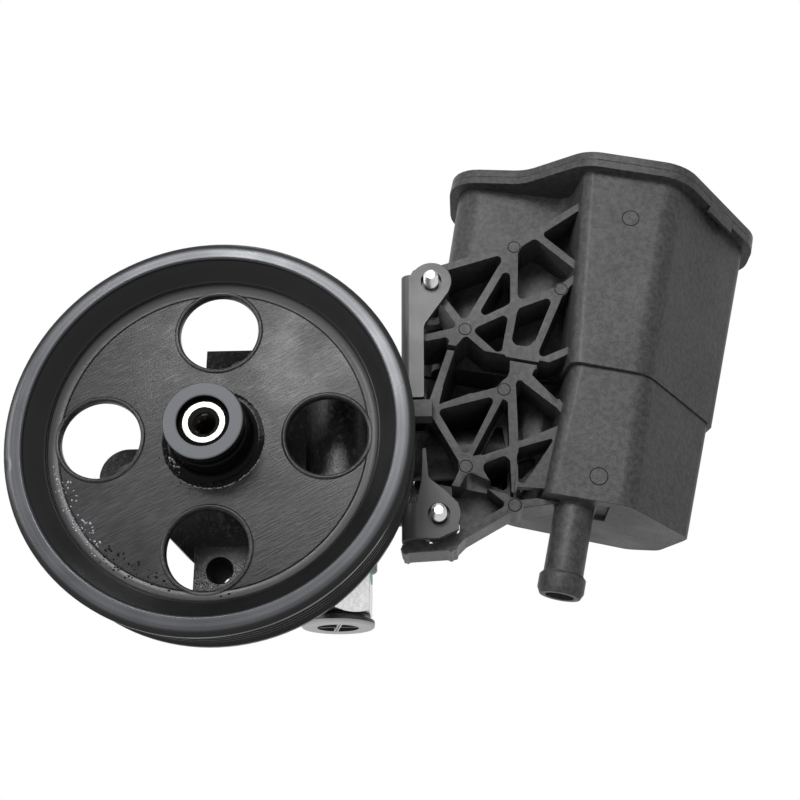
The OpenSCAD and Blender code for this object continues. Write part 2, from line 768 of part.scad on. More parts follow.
module rear_cover() {
  groove = 2 * o_ring_r + 0.4;
  color([0.4, 0.4, 0.42])
    difference() {
      ycyl(bore_r - slide_clear, y_cover, y_snap);
      difference() {
        ycyl(bore_r + 1, y_cover + 1.2, y_cover + 1.2 + groove);
        ycyl(bore_r - 2 * o_ring_r - 0.1, y_cover, y_snap);
      }
    }
}

module cover_o_ring() {
  color([0.05, 0.05, 0.05])
    ring_round(bore_r - o_ring_r - 0.05, o_ring_r, y = y_cover + 1.4 + o_ring_r, turn = [-90, 0, 0]);
}

module cover_ring() {
  r = bore_r + snap_groove - 0.1;
  color([0.3, 0.3, 0.32])
    difference() {
      ycyl(r, y_snap, y_snap + snap_t);
      ycyl(bore_r - 3, y_snap - 1, y_snap + snap_t + 1);
      translate([-5, y_snap - 1, -r - 1])
        cube([10, snap_t + 2, r]);
    }
}

module valve_spool() {
  z_top = z_spool + spool_l;
  color([0.72, 0.72, 0.74])
    translate([valve_x, valve_y, 0])
      difference() {
        rotate_extrude()
          polygon([[0, z_spool], [spool_r - 1.5, z_spool], [spool_r - 1.5, z_spool + 2],
            [spool_r, z_spool + 2], [spool_r, z_spool + 9], [spool_r - 2, z_spool + 10],
            [spool_r - 2, z_spool + 13], [spool_r, z_spool + 14], [spool_r, z_top], [0, z_top]]);
        translate([0, 0, z_spool + relief_wall])
          cylinder(r = spool_bore, h = spool_l);
      }
}

module relief_spring() {
  z0 = z_spool + relief_wall;
  color([0.6, 0.6, 0.62])
    translate([valve_x, valve_y, z0])
      coil(ball_r - 0.5, 0.5, z_ball - 1.9 - z0, 5);
}

module relief_ball() {
  color([0.8, 0.8, 0.82])
    translate([valve_x, valve_y, z_ball])
      sphere(r = ball_r);
}

module relief_seat() {
  z_top = z_spool + spool_l;
  color([0.65, 0.65, 0.67])
    translate([valve_x, valve_y, 0])
      difference() {
        translate([0, 0, z_top - seat_l])
          cylinder(r = spool_bore, h = seat_l - 0.5);
        translate([0, 0, z_top - seat_l - 1])
          cylinder(r = 1.2, h = seat_l + 2);
        translate([0, 0, z_top - seat_l - 0.01])
          cylinder(r1 = ball_r + 0.35, r2 = 1.2, h = 2.6);
      }
}

module valve_spring() {
  z0 = z_spool + spool_l + slide_clear;
  color([0.6, 0.6, 0.62])
    translate([valve_x, valve_y, z0])
      coil(valve_r - 1.8, 0.8, valve_top - slide_clear - z0, 6);
}

module outlet_fitting() {
  color([0.78, 0.78, 0.78])
    translate([valve_x, valve_y, 0])
      difference() {
        union() {
          translate([0, 0, -boss_low - 0.01])
            cylinder(r = stem_r, h = stem_l);
          intersection() {
            translate([0, 0, z_hex])
              rotate(30)
                cylinder(r = fitting_af / sqrt(3), h = fitting_l, $fn = 6);
            translate([0, 0, z_hex])
              rotate_extrude()
                polygon([[0, 0], [fitting_af / 2, 0], [fitting_af / 2 + 2, 1.3],
                  [fitting_af / 2 + 2, fitting_l - 1.3], [fitting_af / 2, fitting_l], [0, fitting_l]]);
          }
        }
        translate([0, 0, z_hex - 1])
          cylinder(r = passage_r, h = fitting_l + stem_l + 2);
        translate([0, 0, z_hex - 1])
          cylinder(r = port_r, h = port_l + 1);
        translate([0, 0, z_hex + port_l - 0.01])
          cylinder(r1 = port_r, r2 = passage_r, h = 2.4);
      }
}

module fitting_o_ring() {
  r = stem_chamfer * 0.28;
  color([0.1, 0.45, 0.42])
    ring_round(stem_r + r + 0.02, r, x = valve_x, y = valve_y, z = -boss_low + r + 0.02);
}

module outlet_plug() {
  z0 = z_hex - plug_neck;
  z1 = z0 - plug_t;
  stem = port_r - plug_clear;
  color([0.72, 0.72, 0.71])
    translate([valve_x, valve_y, 0])
      union() {
        difference() {
          rotate_extrude()
            polygon([[0, z1], [plug_d / 2 - 0.6, z1], [plug_d / 2, z1 + 0.6], [plug_d / 2, z0 - 0.4],
              [plug_d / 2 - 0.4, z0], [port_r + 2, z0], [port_r + 2, z_hex], [stem, z_hex],
              [stem, z_hex + plug_stem_l - 1], [stem - 1, z_hex + plug_stem_l], [0, z_hex + plug_stem_l]]);
          translate([0, 0, z1 - 1])
            cylinder(r = stem - plug_wall, h = plug_stem_l + plug_neck + plug_t - 0.6);
          translate([0, 0, z1 - 1])
            cylinder(r = port_r, h = plug_recess + 1);
        }
        translate([-stem + 0.4, -1, z1 + 0.3])
          cube([2 * stem - 0.8, 2, plug_t + plug_neck + 4]);
      }
}

module inlet_o_ring() {
  color([0.05, 0.05, 0.05])
    ring_round(inlet_r - inlet_o_r - 0.04, inlet_o_r, x = flange_x - 7, y = inlet_y, z = inlet_z,
      turn = [0, 90, 0]);
}

// quarter bend between the bracket's side plate and a front ear
module bend(r, z0, z1) {
  intersection() {
    difference() {
      zcyl(r, z0, z1, bx0 + r, y_bracket + r);
      zcyl(r - bracket_t, z0 - 1, z1 + 1, bx0 + r, y_bracket + r);
    }
    translate([bx0 - 1, y_bracket - 1, z0])
      cube([r + 1, r + 1, z1 - z0]);
  }
}

module reservoir_bracket() {
  up_left = bx0 + bend_up;
  low_left = bx0 + bend_low;
  z_up = stud_up_z + 3;
  z_low = -stud_low_z - ear_low_drop;
  z_bend = -stud_low_z + 4.3;
  upper_ear = [[up_left, strip_low, 0.3], [strip_x, strip_low, 1], [strip_x, stud_up_z - ear_taper, 6],
    [stud_up_x + 7.2, stud_up_z - 4.6, 1], [stud_up_x + 2.6, stud_up_z + 8, 1],
    [up_left + 1, z_up + 2, 1.4], [up_left, z_up, 0.3]];
  lower_ear = [[low_left, z_low, 0.3], [stud_low_x, z_low, 0.8], [stud_low_x + 7.6, z_low + 3.4, 0.8],
    [stud_low_x + 7.4, -stud_low_z + 4.2, 0.8], [stud_low_x + 3, -stud_low_z + 9, 0.8], [79.6, -9.4, 3],
    [78.7, gap_low, 0.3], [77.5, gap_low, 0.3], [76.8, -10.4, 2], [low_left, z_bend, 0.3]];
  side = [[y_bracket + bend_low, z_low, 0.3], [-14, z_low, 5], [-8, inlet_z - flange_bolt_r - 10, 6],
    [inlet_y + 12, inlet_z - flange_bolt_r - 10, 8], [inlet_y + 16, inlet_z - 12, 8],
    [inlet_y + 16, inlet_z + 12, 8],
    [inlet_y + 12, inlet_z + flange_bolt_r + 10, 8], [-8, inlet_z + flange_bolt_r + 10, 6], [-16, 50, 6],
    [-18, z_up, 8], [y_bracket + bend_up, z_up, 0.3], [y_bracket + bend_up, strip_low, 0.3],
    [-24, strip_low - 4, 2], [-24, gap_low, 2], [y_bracket + bend_low, gap_low - 3, 0.5]];
  color([0.2, 0.2, 0.21])
    difference() {
      union() {
        xplate(bx0, bx1)
          polygon(rounded(side, 5));
        yplate(y_bracket, y_bracket_rear)
          union() {
            polygon(rounded(upper_ear, 5));
            translate([stud_up_x, stud_up_z])
              circle(r = ear_round);
            polygon(rounded(lower_ear, 5));
            translate([stud_low_x, -stud_low_z])
              circle(r = ear_round);
          }
        bend(bend_up, strip_low, z_up);
        bend(bend_low, z_low, z_bend);
      }
      ycyl(stud_hole, y_bracket - 1, y_bracket_rear + 1, stud_up_x, stud_up_z);
      ycyl(stud_hole, y_bracket - 1, y_bracket_rear + 1, stud_low_x, -stud_low_z);
      xcyl(tube_r + 0.8, bx0 - 1, bx1 + 1, inlet_y, inlet_z);
      for (s = [-1, 1])
        xcyl(flange_bolt_d / 2 + 0.3, bx0 - 1, bx1 + 1, inlet_y, inlet_z + s * flange_bolt_r);
    }
}

module bracket_bolts() {
  color([0.5, 0.5, 0.5])
    for (s = [-1, 1])
      union() {
        xcyl(flange_bolt_d / 2, flange_x - flange_hole_l + 1, bx1 + 1, inlet_y,
          inlet_z + s * flange_bolt_r);
        xcyl(flange_bolt_d / 2 + 4, bx1, bx1 + 1.6, inlet_y, inlet_z + s * flange_bolt_r);
        translate([bx1 + 1.5, inlet_y, inlet_z + s * flange_bolt_r])
          rotate([0, 90, 0])
            cylinder(r = flange_bolt_d * 0.93, h = flange_bolt_d * 0.6, $fn = 6);
      }
}

// the two places where the reservoir is bolted to the bracket
module at_studs() {
  translate([stud_up_x, 0, stud_up_z])
    children();
  translate([stud_low_x, 0, -stud_low_z])
    children();
}

module clinch_nuts() {
  color([0.6, 0.6, 0.58])
    at_studs()
      difference() {
        ycyl(nut_r, y_bracket_rear, y_boss);
        ycyl(stud_r, y_bracket, y_boss + 1);
      }
}

module bolt_sleeves() {
  color([0.65, 0.65, 0.63])
    at_studs()
      difference() {
        ycyl(sleeve_r, y_boss, y_head);
        ycyl(sleeve_r - sleeve_wall, y_boss - 1, y_head + 1);
      }
}

module reservoir_bolts() {
  color([0.75, 0.75, 0.74])
    at_studs()
      union() {
        ycyl(stud_r, y_bracket - stud_out + 0.8, y_head + 0.1);
        translate([0, y_bracket - stud_out, 0])
          rotate([-90, 0, 0])
            cylinder(r1 = stud_r - 0.8, r2 = stud_r, h = 0.8);
        ycyl(stud_r + 3.4, y_head, y_head + washer_t);
        translate([0, y_head + washer_t - 0.1, 0])
          rotate([-90, 0, 0])
            cylinder(r = stud_d * 0.94, h = head_t, $fn = 6);
      }
}

// straight rib of the lattice from a to b
module rib(a, b) {
  d = b - a;
  translate(a)
    rotate(atan2(d[1], d[0]))
      translate([-rib_t / 2, -rib_t / 2])
        square([norm(d) + rib_t, rib_t]);
}

// rows of ribs joined end to end, with soft corners in the pockets
module lattice(paths, pads) {
  offset(r = -rib_fillet, $fn = 24)
    offset(delta = rib_fillet)
      union() {
        for (p = paths)
          for (i = [0:len(p) - 2])
            rib(p[i], p[i + 1]);
        for (c = pads)
          translate(c)
            circle(r = pin_r, $fn = 24);
      }
}

// left edge of the wings behind the ribs, beside the bracket, at a height in the leaning frame
function wing(w) = (bx1 + back_gap - w * sin(tilt)) / cos(tilt);

// corner of a boss in the leaning frame from its place in the upright frame
function leaned(x, z) = [x * cos(tilt) - z * sin(tilt), x * sin(tilt) + z * cos(tilt)];

// outline of the lid's tab in plan, grown all round where it is the notch for the tab
module tab_plan(grow = 0) {
  near = slant_from + slant * (tab_at - grow);
  far = slant_from + slant * (tab_at + tab_l + grow);
  outer = slant_out * (rim_out + grow);
  inner = slant_out * (rim_out - tab_t - grow);
  polygon([near + outer, far + outer, far + inner, near + inner]);
}

module reservoir_upper() {
  boss = leaned(stud_up_x, stud_up_z);
  paths = [[r_ear, r_pin1, r_mid, r_top], [r_pin1, r_pin3, r_down], [r_pin1, r_cross, r_foot1],
    [r_mid, r_side, r_pin2, r_cross, r_pin3], [r_pin2, r_foot2, r_out], [r_pin3, r_foot1, r_foot2],
    [boss, r_pin3, r_left], [boss, r_ear]];
  color([0.16, 0.16, 0.17])
    lean()
      difference() {
        union() {
          loft(rounded(upper_seam), rounded(upper_top), seam_w, rim_low_w);
          translate([0, 0, rim_low_w])
            linear_extrude(rim_t)
              difference() {
                polygon(rounded(inset(rim_line, -rim_out)));
                tab_plan(tab_clear);
              }
          yplate(y_rib, rib_end_up)
            intersection() {
              lattice(paths, [r_pin1, r_pin2, r_pin3]);
              translate([40, seam_w + seam_gap])
                square([100, upper_h - seam_gap]);
            }
          // wing beside the lobe, and the tunnel that leads to the bolt's head
          yplate(rib_end_low - 0.5, rib_end_low + back_t)
            polygon([[wing(boss[1]), boss[1]], [upper_top[0][0] + 5, boss[1]],
              [upper_seam[0][0] + 5, seam_w + seam_gap], [wing(seam_w), seam_w + seam_gap]]);
          ycyl(tunnel_r + back_t, rib_end_up - back_t, tunnel_end, boss[0], boss[1]);
          ycyl(stud_boss_r, y_boss, y_head, boss[0], boss[1]);
        }
        difference() {
          loft(rounded(inset(between(upper_seam, upper_top, wall / upper_h), wall)),
            rounded(inset(between(upper_seam, upper_top, (upper_h + rim_t + 1) / upper_h), wall)),
            seam_w + wall, rim_mid_w + 1);
          ycyl(tunnel_r + back_t, rib_end_up - back_t, tunnel_end + cut_past, boss[0], boss[1]);
        }
        translate([0, 0, seam_w - 1])
          linear_extrude(wall + 2)
            polygon(rounded(inset(lower_seam, wall + 2.5)));
        ycyl(sleeve_r, y_rib - cut_past, rib_end_up + cut_past, boss[0], boss[1]);
        // room for the clinch nut, and for the bolt's head behind the boss
        ycyl(nut_r + 0.4, y_rib - cut_past, y_boss, boss[0], boss[1]);
        ycyl(tunnel_r, y_head, tunnel_end + cut_past, boss[0], boss[1]);
      }
}

module reservoir_lower() {
  boss = leaned(stud_low_x, -stud_low_z);
  paths = [[s_clip, s_pin1], [s_clip, s_foot1], [s_foot1, s_pin1, s_pin2, s_clip, s_up],
    [s_foot1, s_foot2, s_side1],
    [s_pin1, s_cross, s_foot3], [s_side2, s_cross, s_pin2, boss], [s_side2, s_foot3], [s_pin2, s_foot3]];
  skirt = [[s_pin2, k_pin], [k_left, k_bend, k_turn, k_pin, k_right], [boss, k_bend], [boss, k_left]];
  back = [[wing(seam_w), seam_w - seam_gap], [lower_seam[6][0] + 2, seam_w - seam_gap],
    [lower_bottom[6][0] + 2, bottom_w + 1], [wing(bottom_w), bottom_w + 1]];
  skirt_back = [[k_left[0] + 4, bottom_w + 1], [s_foot3[0], bottom_w + 1], k_pin, k_turn, k_bend,
    [k_left[0] + 4, k_left[1] + 3]];
  color([0.16, 0.16, 0.17])
    difference() {
      union() {
        lean() {
          yplate(rib_end_low - 0.5, rib_end_low + back_t)
            polygon(back);
          yplate(y_head, y_head + back_t)
            polygon(skirt_back);
          loft(rounded(lower_bottom), rounded(lower_seam), bottom_w, seam_w);
          yplate(y_rib + rib_step, rib_end_low)
            intersection() {
              lattice(paths, [s_pin1, s_pin2]);
              translate([40, bottom_w - 3])
                square([100, seam_w - seam_gap - bottom_w + 3]);
            }
          yplate(y_rib + 2 * rib_step, skirt_end)
            intersection() {
              lattice(skirt, [k_pin]);
              translate([60, -40])
                square([80, bottom_w + 39]);
            }
          ycyl(stud_boss_r, y_boss, y_head, boss[0], boss[1]);
          translate([nozzle_u, nozzle_y, bottom_w - nozzle_l])
            rotate_extrude()
              polygon([[0, 0], [barb_r - 1.2, 0], [barb_r, 2.4], [barb_r, barb_l - 1.5], [nozzle_r, barb_l],
                [nozzle_r, nozzle_l + 1], [0, nozzle_l + 1]]);
        }
        xcyl(tube_r, flange_x, tube_end, inlet_y, inlet_z);
        xcyl(inlet_pilot_r, flange_x - inlet_pilot_l, flange_x + 1, inlet_y, inlet_z);
        // hook that fills the break in the bracket's strip
        translate([73.4, y_bracket + 0.4, strip_low - 8.1])
          cube([8, bracket_fwd - rib_fwd + rib_step + 3, 7.3]);
      }
      lean() {
        loft(rounded(inset(between(lower_bottom, lower_seam, wall / lower_h), wall)),
          rounded(inset(between(lower_bottom, lower_seam, (lower_h + 1) / lower_h), wall)),
          bottom_w + wall, seam_w + 1);
        translate([nozzle_u, nozzle_y, bottom_w - nozzle_l - 1])
          cylinder(r = nozzle_bore / 2, h = nozzle_l + wall + 3);
        translate([nozzle_u + nozzle_r + pocket_gap, -pocket_fwd, bottom_w - 1])
          cube([pocket_w, pocket_l, pocket_depth + 1]);
        ycyl(sleeve_r, y_rib - cut_past, cut_past, boss[0], boss[1]);
        ycyl(nut_r + 0.4, y_rib - cut_past, y_boss, boss[0], boss[1]);
        ycyl(stud_boss_r + 0.6, y_head, cut_past, boss[0], boss[1]);
      }
      xcyl(tube_bore, flange_x - inlet_pilot_l - 1, tube_end + 6, inlet_y, inlet_z);
      difference() {
        xcyl(inlet_r + 1, flange_x - 7 - inlet_o_r - 0.3, flange_x - 7 + inlet_o_r + 0.3, inlet_y, inlet_z);
        xcyl(inlet_r - 2 * inlet_o_r - 0.1, flange_x - 12, flange_x, inlet_y, inlet_z);
      }
    }
}

module reservoir_lid() {
  panel = inset(rim_line, 5);
  color([0.15, 0.15, 0.16])
    lean()
      difference() {
        union() {
          translate([0, 0, rim_mid_w])
            linear_extrude(lid_t)
              polygon(rounded(inset(rim_line, -rim_out)));
          translate([0, 0, rim_low_w - tab_drop])
            linear_extrude(rim_t + tab_drop + lid_t / 2)
              tab_plan();
          translate([0, 0, rim_mid_w + 1])
            linear_extrude(lid_t + 0.6)
              polygon(rounded(panel));
          translate([cap_u, cap_y, rim_mid_w])
            cylinder(r = neck_r, h = neck_top_w - rim_mid_w);
        }
        translate([cap_u, cap_y, rim_mid_w - 1])
          cylinder(r = neck_r - neck_wall, h = neck_top_w - rim_mid_w + 2);
      }
}

module filler_cap() {
  w0 = neck_top_w - neck_h + 2.4;
  w1 = neck_top_w + gasket_t;
  color([0.1, 0.1, 0.1])
    lean()
      translate([cap_u, cap_y, 0])
        union() {
          difference() {
            translate([0, 0, w0])
              cylinder(r = cap_r, h = w1 - w0 + cap_top_t);
            translate([0, 0, w0 - 1])
              cylinder(r = neck_r + cap_clear, h = w1 - w0 + 1);
          }
          translate([-cap_r + 3, -3, w1 + cap_top_t - 0.1])
            cube([2 * cap_r - 6, 6, cap_h - cap_top_t]);
        }
}

module cap_gasket() {
  color([0.05, 0.05, 0.05])
    lean()
      translate([cap_u, cap_y, neck_top_w])
        difference() {
          cylinder(r = neck_r, h = gasket_t);
          translate([0, 0, -1])
            cylinder(r = neck_r - neck_wall, h = gasket_t + 2);
        }
}

module dipstick() {
  color([0.2, 0.2, 0.2])
    lean()
      translate([cap_u - dip_w / 2, cap_y - dip_t / 2, neck_top_w + gasket_t - dip_l])
        cube([dip_w, dip_t, dip_l]);
}

pulley_rim();
pulley_web();
pulley_hub();
drive_shaft();
rotor();
vanes();
rotor_ring();
pump_housing();
shaft_seal();
shaft_bush();
thrust_plate();
cam_ring();
pressure_plate();
dowel_pins();
plate_spring();
rear_cover();
cover_o_ring();
cover_ring();
valve_spool();
relief_ball();
relief_spring();
relief_seat();
valve_spring();
outlet_fitting();
fitting_o_ring();
outlet_plug();
inlet_o_ring();
reservoir_bracket();
bracket_bolts();
clinch_nuts();
bolt_sleeves();
reservoir_bolts();
reservoir_upper();
reservoir_lower();
reservoir_lid();
filler_cap();
cap_gasket();
dipstick();
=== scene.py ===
"""Looks of a belt-driven power steering pump: black pulley, cast body, bracket and plastic reservoir."""

import math
import random

import bmesh
import bpy
from mathutils import Matrix, Vector


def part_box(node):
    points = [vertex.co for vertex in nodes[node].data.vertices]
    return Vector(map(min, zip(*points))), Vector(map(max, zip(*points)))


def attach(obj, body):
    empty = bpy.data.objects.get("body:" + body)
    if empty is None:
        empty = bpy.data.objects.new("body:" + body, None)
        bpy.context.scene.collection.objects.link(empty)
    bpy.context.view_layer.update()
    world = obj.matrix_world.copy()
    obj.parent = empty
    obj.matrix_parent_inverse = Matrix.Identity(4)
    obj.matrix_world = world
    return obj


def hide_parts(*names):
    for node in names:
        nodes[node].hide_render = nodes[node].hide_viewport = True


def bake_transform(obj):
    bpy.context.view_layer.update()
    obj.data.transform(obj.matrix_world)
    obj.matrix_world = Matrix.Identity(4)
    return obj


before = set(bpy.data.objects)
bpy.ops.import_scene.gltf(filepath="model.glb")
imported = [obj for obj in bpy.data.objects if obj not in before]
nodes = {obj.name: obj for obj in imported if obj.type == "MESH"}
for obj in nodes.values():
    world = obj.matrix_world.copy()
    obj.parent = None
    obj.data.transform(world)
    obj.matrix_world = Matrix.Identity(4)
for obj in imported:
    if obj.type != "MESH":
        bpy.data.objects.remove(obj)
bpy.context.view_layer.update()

# Pump housing and rear cover. Grey iron cast in sand, machined on its faces, then dipped in satin
# black paint, so that the skin of the sand still shows through. Three ears carry the pump.
MM = 0.001
MERGE = 0.002 * MM
FLAT_ANGLE = math.radians(0.4)
SHARP_ANGLE = math.radians(30)
SHORT_EDGE = 0.8 * MM
FINE_ROUND = 0.25 * MM
ROUND = 0.3 * MM


def put(tree, kind, inputs=None, **settings):
    """Adds a shader node. Inputs go by socket name or number, and are values or other nodes' sockets."""
    made = tree.nodes.new("ShaderNode" + kind)
    for key, value in settings.items():
        setattr(made, key, value)
    for key, value in (inputs or {}).items():
        if isinstance(value, bpy.types.NodeSocket):
            tree.links.new(value, made.inputs[key])
        else:
            made.inputs[key].default_value = value
    return made


def calc(tree, operation, *values):
    """Result of one math step on numbers or sockets."""
    return put(tree, "Math", dict(enumerate(values)), operation=operation).outputs[0]


def ramp(tree, value, low, high, start=0.0, end=1.0):
    """Smooth step of a value between low and high."""
    limits = {"Value": value, "From Min": low, "From Max": high, "To Min": start, "To Max": end}
    return put(tree, "MapRange", limits, interpolation_type="SMOOTHSTEP").outputs["Result"]


def noise(tree, vector, scale, detail=2.0, rough=0.5):
    """Cloudy pattern between 0 and 1."""
    kind = {"Vector": vector, "Scale": scale, "Detail": detail, "Roughness": rough}
    return put(tree, "TexNoise", kind).outputs["Fac"]


def mix(tree, mask, low, high):
    """Colour between low and high by a mask."""
    return put(tree, "Mix", {0: mask, 6: low, 7: high}, data_type="RGBA").outputs[2]


def distance_from(tree, place, centre, directions):
    """Distance of a point from a centre, counted only along the directions given as 1."""
    offset = put(tree, "VectorMath", {0: place, 1: centre}, operation="SUBTRACT").outputs[0]
    counted = put(tree, "VectorMath", {0: offset, 1: directions}, operation="MULTIPLY").outputs[0]
    return put(tree, "VectorMath", {0: counted}, operation="LENGTH").outputs["Value"]


def grey(level, blue=0.0):
    """Neutral colour, with a touch of blue if wanted."""
    return (level * (1 - blue), level * (1 - 0.4 * blue), level * (1 + blue), 1)


def new_group(name, inputs, outputs):
    """Empty shader node group with number inputs, one Vector input and number outputs."""
    group = bpy.data.node_groups.new(name, "ShaderNodeTree")
    group.interface.new_socket("Vector", in_out="INPUT", socket_type="NodeSocketVector")
    for key, value in inputs.items():
        socket = group.interface.new_socket(key, in_out="INPUT", socket_type="NodeSocketFloat")
        socket.default_value = value
    for key in outputs:
        group.interface.new_socket(key, in_out="OUTPUT", socket_type="NodeSocketFloat")
    return group, group.nodes.new("NodeGroupInput").outputs, group.nodes.new("NodeGroupOutput").inputs


def use(tree, group, vector, **values):
    """Places a group in a material and returns its outputs."""
    made = tree.nodes.new("ShaderNodeGroup")
    made.node_tree = group
    tree.links.new(vector, made.inputs["Vector"])
    for key, value in values.items():
        made.inputs[key].default_value = value
    return made.outputs


def new_material(name):
    """Material with a Principled shader: itself, its tree, the shader and the object's own coordinates."""
    material = bpy.data.materials.new(name)
    material.use_nodes = True
    tree = material.node_tree
    shader = tree.nodes["Principled BSDF"]
    return material, tree, shader, put(tree, "TexCoord").outputs["Object"]


def set_shader(tree, shader, **sockets):
    """Sets the shader's sockets: underscores stand for spaces in their names."""
    for key, value in sockets.items():
        socket = shader.inputs[key.replace("_", " ")]
        if isinstance(value, bpy.types.NodeSocket):
            tree.links.new(value, socket)
        else:
            socket.default_value = value


def bump(tree, height, depth, strength):
    """Normal from a height pattern whose full range is depth metres."""
    pattern = {"Height": height, "Distance": depth, "Strength": strength}
    return put(tree, "Bump", pattern).outputs["Normal"]


def add_piece(name, shape, material, body, crease=50):
    """Makes a piece from a bmesh: smooth, but sharp where faces meet at more than the crease angle."""
    mesh = bpy.data.meshes.new(name)
    for edge in shape.edges:
        edge.smooth = edge.calc_face_angle(0) < math.radians(crease)
    for face in shape.faces:
        face.smooth = True
    shape.to_mesh(mesh)
    shape.free()
    if "custom_normal" in mesh.attributes:
        mesh.attributes.remove(mesh.attributes["custom_normal"])
    mesh.materials.append(material)
    piece = bpy.data.objects.new(name, mesh)
    bpy.context.scene.collection.objects.link(piece)
    if body:
        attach(piece, body)
    return piece


def merged_copy(name):
    """Copy of a CAD node's mesh, its loose triangles joined."""
    shape = bmesh.new()
    shape.from_mesh(nodes[name].data)
    bmesh.ops.remove_doubles(shape, verts=shape.verts, dist=MERGE)
    return shape


def round_edges(name, width, material, body, keep=None, shortest=SHORT_EDGE, shape=None):
    """Shows a CAD node with its outer edges rounded, apart from short ones and those to keep sharp."""
    if shape is None:
        shape = merged_copy(name)
    bmesh.ops.dissolve_limit(shape, angle_limit=FLAT_ANGLE, verts=shape.verts, edges=shape.edges)
    sharp = [e for e in shape.edges if e.calc_face_angle(0) > SHARP_ANGLE and e.is_convex]
    sharp = [e for e in sharp if e.calc_length() > shortest]
    if keep:
        sharp = [e for e in sharp if not keep((e.verts[0].co + e.verts[1].co) / 2)]
    bmesh.ops.bevel(
        shape, geom=sharp, offset=width, offset_type="OFFSET", affect="EDGES",
        segments=2, profile=0.5, material=-1, clamp_overlap=False,
    )
    piece = add_piece(name + "_finished", shape, material, body)
    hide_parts(name)
    weighted = piece.modifiers.new("flat_faces", "WEIGHTED_NORMAL")
    weighted.keep_sharp = True
    return piece


# skin of a sand mould: coarse pits over fine grain, and slow clouds of tone
COARSE_SHARE = 0.35
CLOUD_SHARE = 0.03
sand_skin, given, put_out = new_group("sand_skin", {"Scale": 900.0}, ["Height", "Tone"])
coarse_scale = calc(sand_skin, "MULTIPLY", given["Scale"], COARSE_SHARE)
cloud_scale = calc(sand_skin, "MULTIPLY", given["Scale"], CLOUD_SHARE)
fine = noise(sand_skin, given["Vector"], given["Scale"], 5.0, 0.65)
coarse = noise(sand_skin, given["Vector"], coarse_scale, 3.0, 0.6)
cloud = noise(sand_skin, given["Vector"], cloud_scale)
pits = calc(sand_skin, "MULTIPLY_ADD", coarse, 0.6, calc(sand_skin, "MULTIPLY", fine, 0.4))
sand_skin.links.new(pits, put_out["Height"])
sand_skin.links.new(cloud, put_out["Tone"])

# the lower ear's long bore is dull and coloured near black, a painted shade in the bore
LOW_EAR_AT = (0, 0, -45 * MM)
EAR_BORE_R = 5.25 * MM
casting, tree, shader, place = new_material("casting")
skin = use(tree, sand_skin, place, Scale=1500.0)
# light flecks on the high grains: worn paint, and painted glints of the gritty sand skin
wear_and_glint_flecks = ramp(tree, skin["Height"], 0.5, 0.66)
from_bore = distance_from(tree, place, LOW_EAR_AT, (1, 0, 1))
bore_painted_shade = ramp(tree, from_bore, EAR_BORE_R + 0.15 * MM, EAR_BORE_R + 0.05 * MM)
gloss = ramp(tree, skin["Tone"], 0.3, 0.7, 0.26, 0.42)
set_shader(
    tree, shader,
    Base_Color=mix(tree, bore_painted_shade, mix(tree, wear_and_glint_flecks, grey(0.008), grey(0.07)), grey(0.001)),
    Roughness=calc(tree, "MAXIMUM", gloss, bore_painted_shade),
    Normal=bump(tree, skin["Height"], 0.35 * MM, 0.8),
    Specular_IOR_Level=0.38,
)
round_edges("pump_housing", FINE_ROUND, casting, "pump")
round_edges("rear_cover", ROUND, casting, "pump")

# Pump inner parts, flow valve and seals. Hardened and ground steel, spring wire, a bronze bush and
# black rubber, shut inside the housing by the rear cover and its retaining ring.
STROKE_DRAW = (0.06, 1.0, 1.0)
WAVER_SHARE = 0.15


def coat(names, material):
    """Gives CAD nodes a material."""
    for name in names:
        nodes[name].data.materials.clear()
        nodes[name].data.materials.append(material)


# strokes of a grinding or sanding pad, drawn out along the first axis
brush_lines, given, put_out = new_group("brush_lines", {"Scale": 700.0}, ["Height", "Tone"])
drawn = put(brush_lines, "Mapping", {"Vector": given["Vector"], "Scale": STROKE_DRAW}).outputs[0]
stroke = noise(brush_lines, drawn, given["Scale"], 3.0, 0.6)
waver = noise(brush_lines, given["Vector"], calc(brush_lines, "MULTIPLY", given["Scale"], WAVER_SHARE))
brush_lines.links.new(stroke, put_out["Height"])
brush_lines.links.new(waver, put_out["Tone"])

# each metal's tint and roughness
GROUND_SCALE = 2500.0
metal_looks = {
    "hard_steel": (grey(0.5), 0.3),
    "spring_steel": (grey(0.3), 0.35),
    "bronze": ((0.52, 0.36, 0.19, 1), 0.35),
}
metal = {}
for name, (tint, rough) in metal_looks.items():
    metal[name], tree, shader, place = new_material(name)
    lines = use(tree, brush_lines, place, Scale=GROUND_SCALE)
    dull = tuple(0.85 * c for c in tint[:3]) + (1,)
    set_shader(
        tree, shader,
        Base_Color=mix(tree, lines["Tone"], dull, tint),
        Metallic=1.0,
        Roughness=ramp(tree, lines["Height"], 0.3, 0.7, rough * 0.8, rough * 1.2),
        Normal=bump(tree, lines["Height"], 0.02 * MM, 0.5),
    )
HARD_PIECES = ["rotor", "vanes", "thrust_plate", "cam_ring", "pressure_plate", "dowel_pins"]
VALVE_PIECES = ["valve_spool", "relief_ball", "relief_seat"]
coat(HARD_PIECES + VALVE_PIECES, metal["hard_steel"])
coat(["rotor_ring", "plate_spring", "cover_ring", "relief_spring"], metal["spring_steel"])
coat(["shaft_bush"], metal["bronze"])

# valve spring: the coil copied as a piece of its own and fixed where it stands
coil = merged_copy("valve_spring")
spring = add_piece("valve_spring_coil", coil, metal["spring_steel"], None)
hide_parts("valve_spring")
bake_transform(spring)

